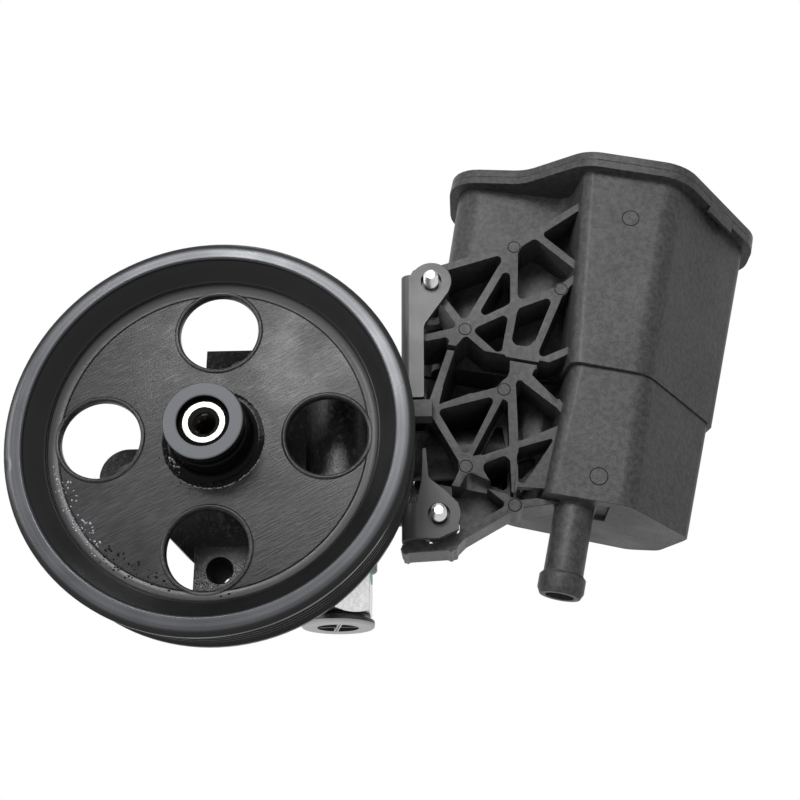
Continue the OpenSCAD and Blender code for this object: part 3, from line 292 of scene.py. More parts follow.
seal_rubber, tree, shader, place = new_material("seal_rubber")
set_shader(
    tree, shader,
    Base_Color=mix(tree, noise(tree, place, 600.0), grey(0.012), grey(0.025)),
    Roughness=ramp(tree, noise(tree, place, 900.0, 4.0), 0.3, 0.7, 0.5, 0.65),
)
coat(["shaft_seal", "cover_o_ring", "inlet_o_ring", "cap_gasket"], seal_rubber)

# Outlet fitting, its seal and its plug. A hexagon turned from bar and zinc plated, with a green seal
# ring, a dab of the inspector's paint, and a grey moulded plug pushed into the port for transport.
zinc = {}
for name, level in (("zinc", 0.78), ("fitting_zinc", 0.82)):
    zinc[name], tree, shader, place = new_material(name)
    skin = use(tree, sand_skin, place, Scale=2600.0)
    crystals = ramp(tree, skin["Height"], 0.35, 0.65)
    set_shader(
        tree, shader,
        Base_Color=mix(tree, crystals, grey(level * 0.75), grey(level)),
        Metallic=1.0,
        Roughness=ramp(tree, skin["Tone"], 0.3, 0.7, 0.26, 0.4),
        Normal=bump(tree, skin["Height"], 0.1 * MM, 0.7),
    )
round_edges("outlet_fitting", ROUND, zinc["fitting_zinc"], "pump")

port_seal, tree, shader, place = new_material("port_seal")
green = mix(tree, noise(tree, place, 600.0), (0.0, 0.18, 0.13, 1), (0.01, 0.28, 0.2, 1))
set_shader(tree, shader, Base_Color=green, Roughness=0.45)
coat(["fitting_o_ring"], port_seal)

# plug: light flange face; near black in its recess, a painted shade, and near black above the flange's face
PLUG_LOW, PLUG_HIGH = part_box("outlet_plug")
PLUG_AXIS = (PLUG_LOW + PLUG_HIGH) / 2
FLANGE_R = (PLUG_HIGH.x - PLUG_LOW.x) / 2
RECESS_R = FLANGE_R * 0.57
FACE_T = 1.3 * MM
BAND_EDGE = 0.1 * MM
plug_plastic, tree, shader, place = new_material("plug_plastic")
skin = use(tree, sand_skin, place, Scale=1800.0)
out_from = distance_from(tree, place, PLUG_AXIS, (1, 1, 0))
up = put(tree, "SeparateXYZ", {0: place}).outputs["Z"]
sunk = ramp(tree, up, PLUG_LOW.z + 0.1 * MM, PLUG_LOW.z + 0.25 * MM)
near_axis = ramp(tree, out_from, RECESS_R + 0.3 * MM, RECESS_R + 0.1 * MM)
recess_painted_shade = calc(tree, "MULTIPLY", sunk, near_axis)
on_band = ramp(tree, up, PLUG_LOW.z + FACE_T, PLUG_LOW.z + FACE_T + BAND_EDGE)
dark = calc(tree, "MAXIMUM", recess_painted_shade, on_band)
set_shader(
    tree, shader,
    Base_Color=mix(tree, dark, mix(tree, skin["Tone"], grey(0.42), grey(0.55)), grey(0.006)),
    Roughness=ramp(tree, skin["Tone"], 0.3, 0.7, 0.36, 0.5),
    Normal=bump(tree, skin["Height"], 0.06 * MM, 0.5),
)
round_edges("outlet_plug", FINE_ROUND, plug_plastic, "plug", shortest=0)

# grip rib across the plug's recess: two thin walls side by side, coloured lighter than the plug as a
# painted highlight
WALL_T = 0.5 * MM
WALL_H = 1.2 * MM
WALL_LIFT = 0.7 * MM
WALL_APART = 1.0 * MM
WALL_TURN = 0.21
rib_seat = Matrix.Translation((PLUG_AXIS.x, PLUG_AXIS.y, PLUG_LOW.z + WALL_LIFT))
rib_turn = Matrix.Rotation(WALL_TURN, 4, "Z")
wall_size = Matrix.Diagonal((WALL_T, 2 * RECESS_R, WALL_H, 1))
shape = bmesh.new()
for side in (-0.5, 0.5):
    aside = Matrix.Translation((side * WALL_APART, 0, 0))
    bmesh.ops.create_cube(shape, size=1, matrix=rib_seat @ rib_turn @ aside @ wall_size)
grip_painted_highlight, tree, shader, place = new_material("plug_rib_painted_highlight")
set_shader(
    tree, shader,
    Base_Color=mix(tree, noise(tree, place, 900.0), grey(0.5), grey(0.62)),
    Roughness=0.45,
)
add_piece("plug_grip", shape, grip_painted_highlight, "plug", crease=30)

# dab of the inspector's paint on the hexagon's right flat: a thin long blob
DAB_AT = Vector((56.45 * MM, -17 * MM, -44.9 * MM))
DAB_R = 2.7 * MM
DAB_STRETCH = (0.16, 2.3, 1.0, 1)
shape = bmesh.new()
dab = Matrix.Translation(DAB_AT) @ Matrix.Diagonal(DAB_STRETCH)
bmesh.ops.create_uvsphere(shape, u_segments=20, v_segments=12, radius=DAB_R, matrix=dab)
teal_paint, tree, shader, place = new_material("teal_paint")
set_shader(
    tree, shader,
    Base_Color=mix(tree, noise(tree, place, 600.0, 3.0), (0.0, 0.3, 0.22, 1), (0.01, 0.42, 0.32, 1)),
    Roughness=0.4,
)
add_piece("paint_dab", shape, teal_paint, "pump")

# Drive shaft. Ground steel bar with a bright end and a tapped hole for the pulley puller. Behind its end
# face it is coloured near black and not metallic, bevel included: painted shade in the countersink and
# hole.
SHAFT_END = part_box("drive_shaft")[0].y
DARK_REACH = 12 * MM
shaft_steel, tree, shader, place = new_material("shaft_steel")
lines = use(tree, brush_lines, place, Scale=GROUND_SCALE)
along = put(tree, "SeparateXYZ", {0: place}).outputs["Y"]
end_face = ramp(tree, along, SHAFT_END + 0.1 * MM, SHAFT_END + 0.03 * MM)
# near black between the end face and the bare shaft further back: painted shade in the countersink and hole
past_dark_reach = ramp(tree, along, SHAFT_END + DARK_REACH, SHAFT_END + 2 * DARK_REACH)
bare = calc(tree, "MAXIMUM", end_face, past_dark_reach)
bright = mix(tree, lines["Tone"], (0.2, 0.195, 0.175, 1), (0.28, 0.27, 0.245, 1))
set_shader(
    tree, shader,
    Base_Color=mix(tree, bare, grey(0.008), bright),
    Metallic=bare,
    Roughness=ramp(tree, lines["Height"], 0.3, 0.7, 0.25, 0.4),
    Normal=bump(tree, lines["Height"], 0.02 * MM, 0.5),
    Specular_IOR_Level=0.15,
)
coat(["drive_shaft"], shaft_steel)

# thread of the tapped hole
HOLE_R = 4.25 * MM
THREAD_PITCH = 1.5 * MM
THREAD_HEIGHT = 0.55 * MM
THREAD_START = 2.6 * MM
THREAD_TURNS = 11
FULL_TURN = 2 * math.pi
TURN_STEPS = 36
ROOT_SUNK = 0.05 * MM


def screw_ridge(shape, root, tip, start, pitch, turns, foot):
    """Winds a thread's ridge round the Y axis, from its root radius to its tip radius."""
    profile = [(root, -foot / 2), (tip, 0), (root, foot / 2)]
    corners = [shape.verts.new((r, start + along, 0)) for r, along in profile]
    rows = [shape.edges.new((corners[i], corners[(i + 1) % 3])) for i in range(3)]
    step = Vector((0, pitch / TURN_STEPS, 0))
    bmesh.ops.spin(
        shape, geom=corners + rows, axis=(0, 1, 0), cent=(0, 0, 0), dvec=step,
        angle=FULL_TURN * turns, steps=TURN_STEPS * turns, use_merge=False,
    )
    bmesh.ops.holes_fill(shape, edges=[e for e in shape.edges if e.is_boundary], sides=3)
    bmesh.ops.recalc_face_normals(shape, faces=shape.faces)


shape = bmesh.new()
screw_ridge(
    shape, HOLE_R + ROOT_SUNK, HOLE_R - THREAD_HEIGHT, SHAFT_END + THREAD_START,
    THREAD_PITCH, THREAD_TURNS, THREAD_PITCH * 0.8,
)
thread_oxide_glints, tree, shader, place = new_material("thread_oxide_glints")
# bright flecks painted into the dark oxide as glints
glint = ramp(tree, noise(tree, place, 350.0, 3.0, 0.6), 0.58, 0.66)
set_shader(
    tree, shader,
    Base_Color=mix(tree, glint, (0.012, 0.01, 0.008, 1), (0.2, 0.17, 0.13, 1)),
    Metallic=0.7,
    Roughness=0.35,
)
add_piece("puller_thread", shape, thread_oxide_glints, "drive", crease=30)

# Pulley. Pressed and turned steel, welded to its web and sprayed gloss black: turning lines on the ring
# and the cone, sanding strokes under the paint of the web, rolled lips round the access holes.
STROKE_TURN = math.radians(28)
RING_IN = 69.0 * MM
DISH_R = 62.7 * MM
WEB_R = 58.0 * MM
WEB_SEAM_R = 60.97 * MM
RING_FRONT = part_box("pulley_rim")[0].y
WEB_FRONT = RING_FRONT + 11 * MM
FILLET_DEPTH = 3.0 * MM
FILLET_REACH = 4.2 * MM
TONE_EDGE = 0.4 * MM
TONE_FULL = 0.9 * MM

# where on the pulley a point is: its distance from the shaft line and its place along it
shaft_radius, given, put_out = new_group("shaft_radius", {}, ["Radius", "Along"])
parts = put(shaft_radius, "SeparateXYZ", {0: given["Vector"]}).outputs
across = calc(shaft_radius, "MULTIPLY", parts["X"], parts["X"])
square = calc(shaft_radius, "MULTIPLY_ADD", parts["Z"], parts["Z"], across)
shaft_radius.links.new(calc(shaft_radius, "SQRT", square), put_out["Radius"])
shaft_radius.links.new(parts["Y"], put_out["Along"])


def lathe_rings(tree, radius, scale):
    """Fine rings left by a turning tool."""
    kind = {"W": radius, "Scale": scale, "Detail": 3.0}
    return put(tree, "TexNoise", kind, noise_dimensions="1D").outputs["Fac"]


# masks of the web, the fillet round it, which gets a painted sheen, the cone and the ring
pulley_paint, tree, shader, place = new_material("pulley_paint")
spot = use(tree, shaft_radius, place)
on_web = ramp(tree, spot["Radius"], DISH_R, WEB_R)
past_web = ramp(tree, spot["Radius"], WEB_R + TONE_EDGE, WEB_R + TONE_FULL)
inside_cone = ramp(tree, spot["Radius"], DISH_R - TONE_EDGE, DISH_R - TONE_FULL)
fillet_sheen_mask = calc(tree, "MULTIPLY", past_web, inside_cone)
on_cone = ramp(tree, spot["Radius"], DISH_R, DISH_R + 1 * MM)
past_cone = ramp(tree, spot["Radius"], RING_IN - TONE_EDGE, RING_IN)
at_front = ramp(tree, spot["Along"], RING_FRONT + 1.2 * MM, RING_FRONT + 0.4 * MM)
on_ring = calc(tree, "MULTIPLY", past_cone, at_front)

# sanding strokes, turned rings and the paint's own peel, as height; the strokes also lighten the colour as
# a painted sheen
turned = put(tree, "Mapping", {"Vector": place, "Rotation": (0, STROKE_TURN, 0)}).outputs[0]
brushed = use(tree, brush_lines, turned, Scale=2100.0)
rings = lathe_rings(tree, spot["Radius"], 2600.0)
peel = noise(tree, place, 900.0, 3.0, 0.6)
patch = noise(tree, place, 55.0)
scratch = ramp(tree, brushed["Height"], 0.36, 0.64)
stroke = calc(tree, "MULTIPLY", scratch, ramp(tree, patch, 0.3, 0.7, 0.5, 1.0))
worked = calc(tree, "MULTIPLY", stroke, on_web)
lathe = calc(tree, "MULTIPLY", rings, calc(tree, "SUBTRACT", 1.0, on_web))
skin_height = calc(tree, "MULTIPLY_ADD", peel, 0.25, worked)
height = calc(tree, "ADD", skin_height, calc(tree, "MULTIPLY", lathe, 0.5))
# the sanding strokes coloured lighter: a painted sheen on them
dish_with_stroke_sheen = mix(tree, worked, grey(0.006), grey(0.03))
# the fillet coloured lighter: a painted sheen
fillet_painted_sheen = mix(tree, fillet_sheen_mask, dish_with_stroke_sheen, grey(0.05))
on_dish = mix(tree, on_cone, fillet_painted_sheen, grey(0.006))
ring_tone = mix(tree, rings, grey(0.03, 0.05), grey(0.085, 0.05))
set_shader(
    tree, shader,
    Base_Color=mix(tree, on_ring, on_dish, ring_tone),
    Metallic=calc(tree, "MULTIPLY", on_ring, 0.5),
    Roughness=ramp(tree, patch, 0.3, 0.7, 0.26, 0.36),
    Normal=bump(tree, height, 0.05 * MM, 0.7),
    Specular_IOR_Level=0.21,
)


def at_weld(p):
    """True on the weld between rim and web, which isn't an edge of the painted pulley."""
    return abs(math.hypot(p.x, p.z) - WEB_SEAM_R) < 0.3 * MM


round_edges("pulley_rim", FINE_ROUND, pulley_paint, "drive", keep=at_weld)
round_edges("pulley_web", FINE_ROUND, pulley_paint, "drive", keep=at_weld)

# where the web meets its fillet and where the fillet meets the cone: slim near-black beads, painted shade
# lines along the creases
LINE_R = 0.32 * MM


def dish_front(r):
    """Front of the web at a distance from the shaft line, where it curves up into the cone."""
    share = min(max((r - WEB_R) / FILLET_REACH, 0), 1)
    return WEB_FRONT - FILLET_DEPTH * (1 - math.sqrt(1 - share * share))


def spin_bead(shape, seat, radius, sides, axis, centre, steps):
    """Spins a small circle, placed by its seat, into a ring round an axis."""
    ring = bmesh.ops.create_circle(shape, segments=sides, radius=radius, matrix=seat)["verts"]
    edges = list({e for v in ring for e in v.link_edges})
    bmesh.ops.spin(
        shape, geom=ring + edges, axis=axis, cent=centre, angle=FULL_TURN, steps=steps, use_merge=True
    )


def close_seams(shape):
    """Joins what a spin left open and turns the faces outwards."""
    bmesh.ops.remove_doubles(shape, verts=shape.verts, dist=MERGE)
    bmesh.ops.recalc_face_normals(shape, faces=shape.faces)


shape = bmesh.new()
for line_at in (WEB_R + 0.2 * MM, DISH_R - 0.6 * MM):
    seat = Matrix.Translation((line_at, dish_front(line_at), 0))
    spin_bead(shape, seat, LINE_R, sides=10, axis=(0, 1, 0), centre=(0, 0, 0), steps=160)
close_seams(shape)
# near black and dull: the painted shade of the creases
crease_shade_paint, tree, shader, place = new_material("crease_shade_paint")
set_shader(
    tree, shader,
    Base_Color=mix(tree, noise(tree, place, 400.0, 3.0), grey(0.002), grey(0.006)),
    Roughness=0.3,
    Specular_IOR_Level=0.1,
)
add_piece("dish_shade_lines", shape, crease_shade_paint, "drive")

# rolled lips of the access holes: a bead spun round each hole's axis
ACCESS_R = 42.8 * MM
ACCESS_HOLE_R = 15.3 * MM
LIP_R = 1.0 * MM
LIP_SUNK = 0.45 * MM
QUARTERS = [quarter * math.pi / 2 for quarter in range(4)]
ACCESS_HOLES = [Vector((ACCESS_R * math.cos(turn), 0, ACCESS_R * math.sin(turn))) for turn in QUARTERS]
shape = bmesh.new()
for hole in ACCESS_HOLES:
    centre = hole + Vector((0, WEB_FRONT + LIP_SUNK, 0))
    seat = Matrix.Translation(centre + Vector((ACCESS_HOLE_R + LIP_R, 0, 0)))
    spin_bead(shape, seat, LIP_R, sides=14, axis=(0, 1, 0), centre=centre, steps=72)
close_seams(shape)
add_piece("access_lips", shape, pulley_paint, "drive")

# Pulley hub. Turned steel pressed on the shaft, gloss black where the paint pooled round its foot,
# with a satin blue-grey nose face.
HUB_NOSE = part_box("pulley_hub")[0].y
hub_paint, tree, shader, place = new_material("hub_paint")
spot = use(tree, shaft_radius, place)
on_nose = ramp(tree, spot["Along"], HUB_NOSE + 0.5 * MM, HUB_NOSE + 0.1 * MM)
rings = lathe_rings(tree, spot["Radius"], 3000.0)
peel = noise(tree, place, 500.0)
set_shader(
    tree, shader,
    Base_Color=mix(tree, on_nose, grey(0.003), grey(0.11, 0.06)),
    Roughness=ramp(tree, on_nose, 0.0, 1.0, 0.12, 0.34),
    Normal=bump(tree, mix(tree, on_nose, peel, rings), 0.06 * MM, 0.6),
    Specular_IOR_Level=0.05,
)
round_edges("pulley_hub", ROUND, hub_paint, "drive", shortest=0)

# Paint runs and specks. The thick black paint beaded along the dish's fillet at the left and below,
# where the beads at the left are coloured light as painted glints, and it ran round the foot of the hub.
HUB_FOOT_R = 18.4 * MM
HOLE_ROOM = ACCESS_HOLE_R + 3 * LIP_R
BEADS_IN = DISH_R - 1.4 * MM
GLINT_END = math.radians(228)
FILLET_BEADS = 190
FOOT_BEADS = 26
SPECKS = 14
# light bluish colour of the glinting drops: a painted highlight
painted_glint_coat, tree, shader, place = new_material("painted_glint_coat")
set_shader(
    tree, shader,
    Base_Color=mix(tree, noise(tree, place, 700.0, 3.0), grey(0.02), grey(0.3, 0.1)),
    Roughness=0.12,
    Specular_IOR_Level=0.6,
)
draw = random.Random(7)


def bead_of_paint(shape, r, angle, radius, stretch, tall=0.5):
    """One drop, sunk by half into the painted face, drawn out along its circle; none over a hole."""
    at = Vector((r * math.cos(angle), dish_front(r), r * math.sin(angle)))
    if any(math.hypot(at.x - hole.x, at.z - hole.z) < HOLE_ROOM for hole in ACCESS_HOLES):
        return
    seat = Matrix.Translation(at) @ Matrix.Rotation(-angle, 4, "Y") @ Matrix.Diagonal((1, tall, stretch, 1))
    bmesh.ops.create_icosphere(shape, subdivisions=2, radius=radius, matrix=seat)


# along the fillet
shape = bmesh.new()
glints = bmesh.new()
for _ in range(FILLET_BEADS):
    where = math.radians(draw.triangular(165, 290, 222))
    from_edge = draw.triangular(0.2, 8.5, 1.5) * MM
    size = draw.uniform(0.22, 0.5) * MM
    drops = glints if where < GLINT_END else shape
    bead_of_paint(drops, BEADS_IN - from_edge, where, size, draw.uniform(0.8, 1.6))
add_piece("dish_glints", glints, painted_glint_coat, "drive")

# round the hub's foot, and a few specks further out
for _ in range(FOOT_BEADS):
    where = math.radians(draw.triangular(180, 300, 225))
    out_at = HUB_FOOT_R + draw.uniform(-0.4, 0.9) * MM
    size = draw.uniform(0.4, 0.9) * MM
    bead_of_paint(shape, out_at, where, size, draw.uniform(1, 2.2))
for _ in range(SPECKS):
    where = math.radians(draw.uniform(200, 320))
    out_at = draw.uniform(20, 24) * MM
    size = draw.uniform(0.15, 0.35) * MM
    bead_of_paint(shape, out_at, where, size, draw.uniform(0.8, 1.5))
add_piece("paint_beads", shape, hub_paint, "drive")

# pool of paint round the foot: a flat ring whose ragged edge reaches further out below
POOL_STEPS = 144
POOL_IN = 16.0 * MM
POOL_T = 0.25 * MM
POOL_SUNK = -0.3 * MM
POOL_REACH = 0.5
POOL_SAG = 0.9
POOL_RINGS = [(POOL_SUNK, 0.0), (POOL_SUNK, 1.0), (POOL_T * 0.6, 1.0), (POOL_T, 0.93), (POOL_T, 0.0)]
pool_edge = []
for step in range(POOL_STEPS):
    where = FULL_TURN * step / POOL_STEPS
    low = 0.5 - 0.5 * math.sin(where)
    pool_edge.append((where, HUB_FOOT_R + (POOL_REACH + POOL_SAG * low + draw.uniform(-0.2, 0.2)) * MM))
shape = bmesh.new()
loops = []
for stands, share in POOL_RINGS:
    loop = []
    for where, reach in pool_edge:
        r = POOL_IN + (reach - POOL_IN) * share
        loop.append(shape.verts.new((r * math.cos(where), WEB_FRONT - stands, r * math.sin(where))))
    loops.append(loop)
for loop, following in zip(loops, loops[1:] + loops[:1]):
    for i in range(POOL_STEPS):
        j = (i + 1) % POOL_STEPS
        shape.faces.new((loop[i], loop[j], following[j], following[i]))
bmesh.ops.recalc_face_normals(shape, faces=shape.faces)
add_piece("paint_pool", shape, hub_paint, "drive")

# the pool's edge below at the right and drops on the foot at the lower left, coloured light as painted
# glints
RUN_START = 238
RUN_STEP = 2.1
RUN_BEADS = 46
FOOT_DROPS = 9
shape = bmesh.new()
for step in range(RUN_BEADS):
    where = math.radians(RUN_START + step * RUN_STEP + draw.uniform(-0.6, 0.6))
    size = draw.uniform(0.16, 0.34) * MM
    out_at = HUB_FOOT_R + draw.uniform(1.2, 1.6) * MM
    bead_of_paint(shape, out_at, where, size, draw.uniform(1.2, 2.6), tall=0.8)
for _ in range(FOOT_DROPS):
    where = math.radians(draw.uniform(205, 232))
    size = draw.uniform(0.3, 0.6) * MM
    out_at = draw.uniform(16.4, 18.2) * MM
    bead_of_paint(shape, out_at, where, size, draw.uniform(1.0, 1.6), tall=2.6)
add_piece("glint_drops", shape, painted_glint_coat, "drive")

# Bracket. Pressed steel sheet, dipped satin black with its flange bolts and clinch nuts, which take the
# reservoir's bolts. Its handling left nicks that show the sheet. The sleeves in the bosses are plated.
bracket_paint, tree, shader, place = new_material("bracket_paint")
skin = use(tree, sand_skin, place, Scale=1800.0)
nicks = ramp(tree, noise(tree, place, 420.0, 5.0, 0.7), 0.69, 0.73)
set_shader(
    tree, shader,
    Base_Color=mix(tree, nicks, mix(tree, skin["Tone"], grey(0.03), grey(0.06)), grey(0.2)),
    Roughness=ramp(tree, skin["Tone"], 0.3, 0.7, 0.3, 0.42),
    Normal=bump(tree, skin["Height"], 0.08 * MM, 0.6),
    Specular_IOR_Level=0.28,
)
round_edges("reservoir_bracket", ROUND, bracket_paint, "pump")
coat(["bolt_sleeves"], zinc["zinc"])
coat(["clinch_nuts", "bracket_bolts"], bracket_paint)

# Reservoir. Two black nylon mouldings and a lid, welded together. The tool's spark-eroded skin gives the
# faces a fine dull grain, with scuffs here and there.
tank_plastic, tree, shader, place = new_material("tank_plastic")
skin = use(tree, sand_skin, place, Scale=1400.0)
grain = ramp(tree, skin["Height"], 0.38, 0.62)
drawn = put(tree, "Mapping", {"Vector": place, "Scale": (1, 1, 0.5)}).outputs[0]
scuffs = ramp(tree, noise(tree, drawn, 160.0, 6.0, 0.7), 0.66, 0.72)
set_shader(
    tree, shader,
    Base_Color=mix(tree, scuffs, mix(tree, grain, grey(0.024), grey(0.048)), grey(0.07)),
    Roughness=ramp(tree, skin["Tone"], 0.3, 0.7, 0.36, 0.46),
    Normal=bump(tree, skin["Height"], 0.2 * MM, 0.8),
    Specular_IOR_Level=0.19,
)

# pockets of the lower lattice, opened to their full size, the first where a rib is left out: how far back
# each goes, and its corners as [across, up] in millimetres on the leaning frame
LEAN = Matrix.Rotation(math.radians(12), 4, "Y")
LOWER_FRONT = -28.48 * MM
POCKET_BACK = -12 * MM
WING_FRONT = 9.9 * MM
POCKET_SOFT = 0.7 * MM
POCKET_CLEAR = 2 * MM
RIBS_END = 5 * MM
POCKETS = [
    (WING_FRONT, [
        (77.3, 39.6), (90.5, 47.9), (100.6, 54.5), (102.1, 56.2), (102.6, 58.7), (101.4, 66), (80.9, 66),
        (78, 52)]),
    (POCKET_BACK, [(102, 46.9), (104.2, 45.8), (108.1, 27.5), (94.5, 20.7)]),
    (POCKET_BACK, [(111.6, 27.7), (123.8, 34), (124.5, 32.9), (116.5, 14), (114.1, 13.7)]),
    (POCKET_BACK, [
        (99.6, 16.8), (107.5, 23.2), (109.4, 22.1), (111.6, 12.2), (112.2, 9), (106.5, 9), (100.7, 15)]),
    (POCKET_BACK, [(112, 61.5), (111.6, 59), (119.1, 53.4), (123.6, 50.3), (124.4, 51.5), (114.5, 62.4)]),
]


def add_prism(shape, corners, front, back, soft):
    """Adds a straight prism on the leaning frame, its long edges softened by a radius."""
    low = [shape.verts.new(LEAN @ Vector((u * MM, back, w * MM))) for u, w in corners]
    high = [shape.verts.new(LEAN @ Vector((u * MM, front, w * MM))) for u, w in corners]
    faces = [shape.faces.new(low), shape.faces.new(high)]
    for i in range(len(corners)):
        j = (i + 1) % len(corners)
        faces.append(shape.faces.new((low[i], low[j], high[j], high[i])))
    bmesh.ops.recalc_face_normals(shape, faces=faces)
    pairs = [{a, b} for a, b in zip(low, high)]
    long_edges = [e for e in shape.edges if set(e.verts) in pairs]
    bmesh.ops.bevel(
        shape, geom=long_edges, offset=soft, affect="EDGES", segments=4, profile=0.5, material=-1,
        clamp_overlap=True,
    )


def cut_away(shape, tool):
    """Cuts one closed bmesh out of another and returns what is left."""
    pair = []
    for form in (shape, tool):
        mesh = bpy.data.meshes.new("cutting")
        form.to_mesh(mesh)
        form.free()
        pair.append(bpy.data.objects.new("cutting", mesh))
        bpy.context.scene.collection.objects.link(pair[-1])
    step = pair[0].modifiers.new("cut", "BOOLEAN")
    step.operation = "DIFFERENCE"
    step.solver = "EXACT"
    step.object = pair[1]
    bpy.context.view_layer.update()
    left = bmesh.new()
    left.from_object(pair[0], bpy.context.evaluated_depsgraph_get())
    for holder in pair:
        mesh = holder.data
        bpy.data.objects.remove(holder)
        bpy.data.meshes.remove(mesh)
    return left


def behind_ribs(p):
    """True deep behind the lattice, where moulded edges stay sharp."""
    return p.y > RIBS_END


tool = bmesh.new()
for back, corners in POCKETS:
    add_prism(tool, corners, LOWER_FRONT - POCKET_CLEAR, back, POCKET_SOFT)
lower_shell = round_edges(
    "reservoir_lower", FINE_ROUND, tank_plastic, "pump",
    keep=behind_ribs, shape=cut_away(merged_copy("reservoir_lower"), tool),
)

# plates where ribs run together at the seam and beside the block, and strips that close the wings behind:
# front, back and corners as above
UPPER_FRONT = -29.98 * MM
PLATE_DEEP = 17 * MM
GUSSET_DEEP = 4 * MM
PLATE_SOFT = 0.3 * MM
PLATES = [
    (UPPER_FRONT, UPPER_FRONT + PLATE_DEEP, [
        (98, 66.4), (100.9, 66.4), (100.9, 72.5), (101.7, 71), (103.2, 70), (107.4, 70.2), (108.9, 71.2),
        (110.1, 73.4), (111.5, 70), (110.6, 66), (113.4, 65.2), (113.4, 64.3), (100, 64.3)]),
    (LOWER_FRONT, LOWER_FRONT + PLATE_DEEP, [
        (101.8, 63.5), (113, 63.5), (112, 61), (111.6, 59), (119.1, 53.4), (124.8, 49.4), (125.6, 46),
        (118.5, 49.8), (110.4, 54.3), (107.7, 56), (106.3, 55.5), (105.9, 53.9), (108.4, 43.1),
        (111, 31.2), (109.2, 29), (104.4, 46.5), (101.5, 49.6), (100.7, 54.2), (102.3, 56.3),
        (102.6, 58.7)]),
    (LOWER_FRONT, LOWER_FRONT + GUSSET_DEEP, [
        (124.6, 33.3), (125.5, 39.1), (127, 39.4), (127.7, 13.7), (111.6, 11.6), (112.9, 13.5),
        (116.6, 13.8)]),
    (12.6 * MM, 13.4 * MM, [(64, 63), (96, 63), (96, 65.6), (64, 65.6)]),
    (10.2 * MM, 12.8 * MM, [(70.4, 12.5), (73.5, 12.5), (73.5, 20), (70.4, 20)]),
]
shape = bmesh.new()
for front, back, corners in PLATES:
    add_prism(shape, corners, front, back, PLATE_SOFT)
add_piece("rib_plates", shape, tank_plastic, "pump", crease=30)
upper_shell = round_edges("reservoir_upper", FINE_ROUND, tank_plastic, "pump")
round_edges("reservoir_lid", ROUND, tank_plastic, "pump")

# ejector marks on the rib crossings and on the block's front: each a low disc in a near-black ring of
# painted shade, set where a line from the front meets the shell, as [across, up, radius] in millimetres on
# the leaning frame
UPPER_MARKS = [(94.5, 113.4, 2.5), (116.8, 97.9, 2.5), (81.5, 73.1, 2.5), (139.6, 131, 3.4)]
LOWER_MARKS = [(101.7, 50.8, 2.5), (92.9, 16.3, 2.5), (114.4, 4.9, 2.5), (144, 20.2, 3.4)]
MARK_STANDS = 0.06 * MM
SHADE_RING_R = 0.2 * MM
MARK_STEPS = 40
BEFORE_ALL = -80 * MM
BACKWARD = Vector((0, 1, 0))
bpy.context.view_layer.update()
shape = bmesh.new()
shade_rings = bmesh.new()
for shell, marks in ((upper_shell, UPPER_MARKS), (lower_shell, LOWER_MARKS)):
    for across, up, radius in marks:
        start = LEAN @ Vector((across * MM, BEFORE_ALL, up * MM))
        _, at, normal, _ = shell.ray_cast(start, BACKWARD)
        seat = Matrix.Translation(at) @ normal.to_track_quat("Z", "Y").to_matrix().to_4x4()
        bmesh.ops.create_cone(
            shape, cap_ends=True, segments=MARK_STEPS, radius1=radius * MM, radius2=radius * MM,
            depth=2 * MARK_STANDS, matrix=seat,
        )
        wire = seat @ Matrix.Translation((radius * MM, 0, 0)) @ Matrix.Rotation(math.pi / 2, 4, "X")
        spin_bead(shade_rings, wire, SHADE_RING_R, sides=8, axis=normal, centre=at, steps=MARK_STEPS)
add_piece("ejector_marks", shape, tank_plastic, "pump", crease=25)
close_seams(shade_rings)
# near-black rings: painted shade round the discs
mark_painted_shade, tree, shader, place = new_material("mark_painted_shade")
set_shader(
    tree, shader,
    Base_Color=mix(tree, noise(tree, place, 500.0), grey(0.003), grey(0.008)),
    Roughness=0.6,
    Specular_IOR_Level=0.1,
)
add_piece("mark_outlines", shade_rings, mark_painted_shade, "pump")

# Reservoir bolts. Bright zinc plated bolts put in from behind, whose threaded ends stand out of the
# bracket. Each is a turned core with a washer, a hexagon head and a wound thread.
BOLT_PLACES = [(81.4 * MM, 74.6 * MM), (83.6 * MM, -23.9 * MM)]
BOLT_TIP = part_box("reservoir_bolts")[0].y
BOLT_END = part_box("reservoir_bolts")[1].y
BOLT_R = 3.0 * MM
BOLT_CORE = 2.55 * MM
BOLT_PITCH = 1.0 * MM
BOLT_THREAD_START = 1.2 * MM
BOLT_PLAIN = 4 * MM
TIP_CHAMFER = 0.9 * MM
HEAD_SEAT = -13.0 * MM
HEAD_R = 5.64 * MM
WASHER_R = 6.4 * MM
WASHER_T = 1.4 * MM
WASHER_CHAMFER = 0.3 * MM
BOLT_STEPS = 48
HEAD_FRONT = HEAD_SEAT + WASHER_T
BOLT_OUTLINE = [
    (0, BOLT_TIP), (BOLT_CORE - TIP_CHAMFER, BOLT_TIP), (BOLT_CORE, BOLT_TIP + TIP_CHAMFER),
    (BOLT_CORE, HEAD_SEAT), (WASHER_R - WASHER_CHAMFER, HEAD_SEAT), (WASHER_R, HEAD_SEAT + WASHER_CHAMFER),
    (WASHER_R, HEAD_FRONT), (0, HEAD_FRONT),
]
head_place = Matrix.Translation((0, (HEAD_FRONT + BOLT_END) / 2, 0)) @ Matrix.Rotation(math.pi / 2, 4, "X")
bolt_turns = int((HEAD_SEAT - BOLT_TIP - BOLT_PLAIN) / BOLT_PITCH)
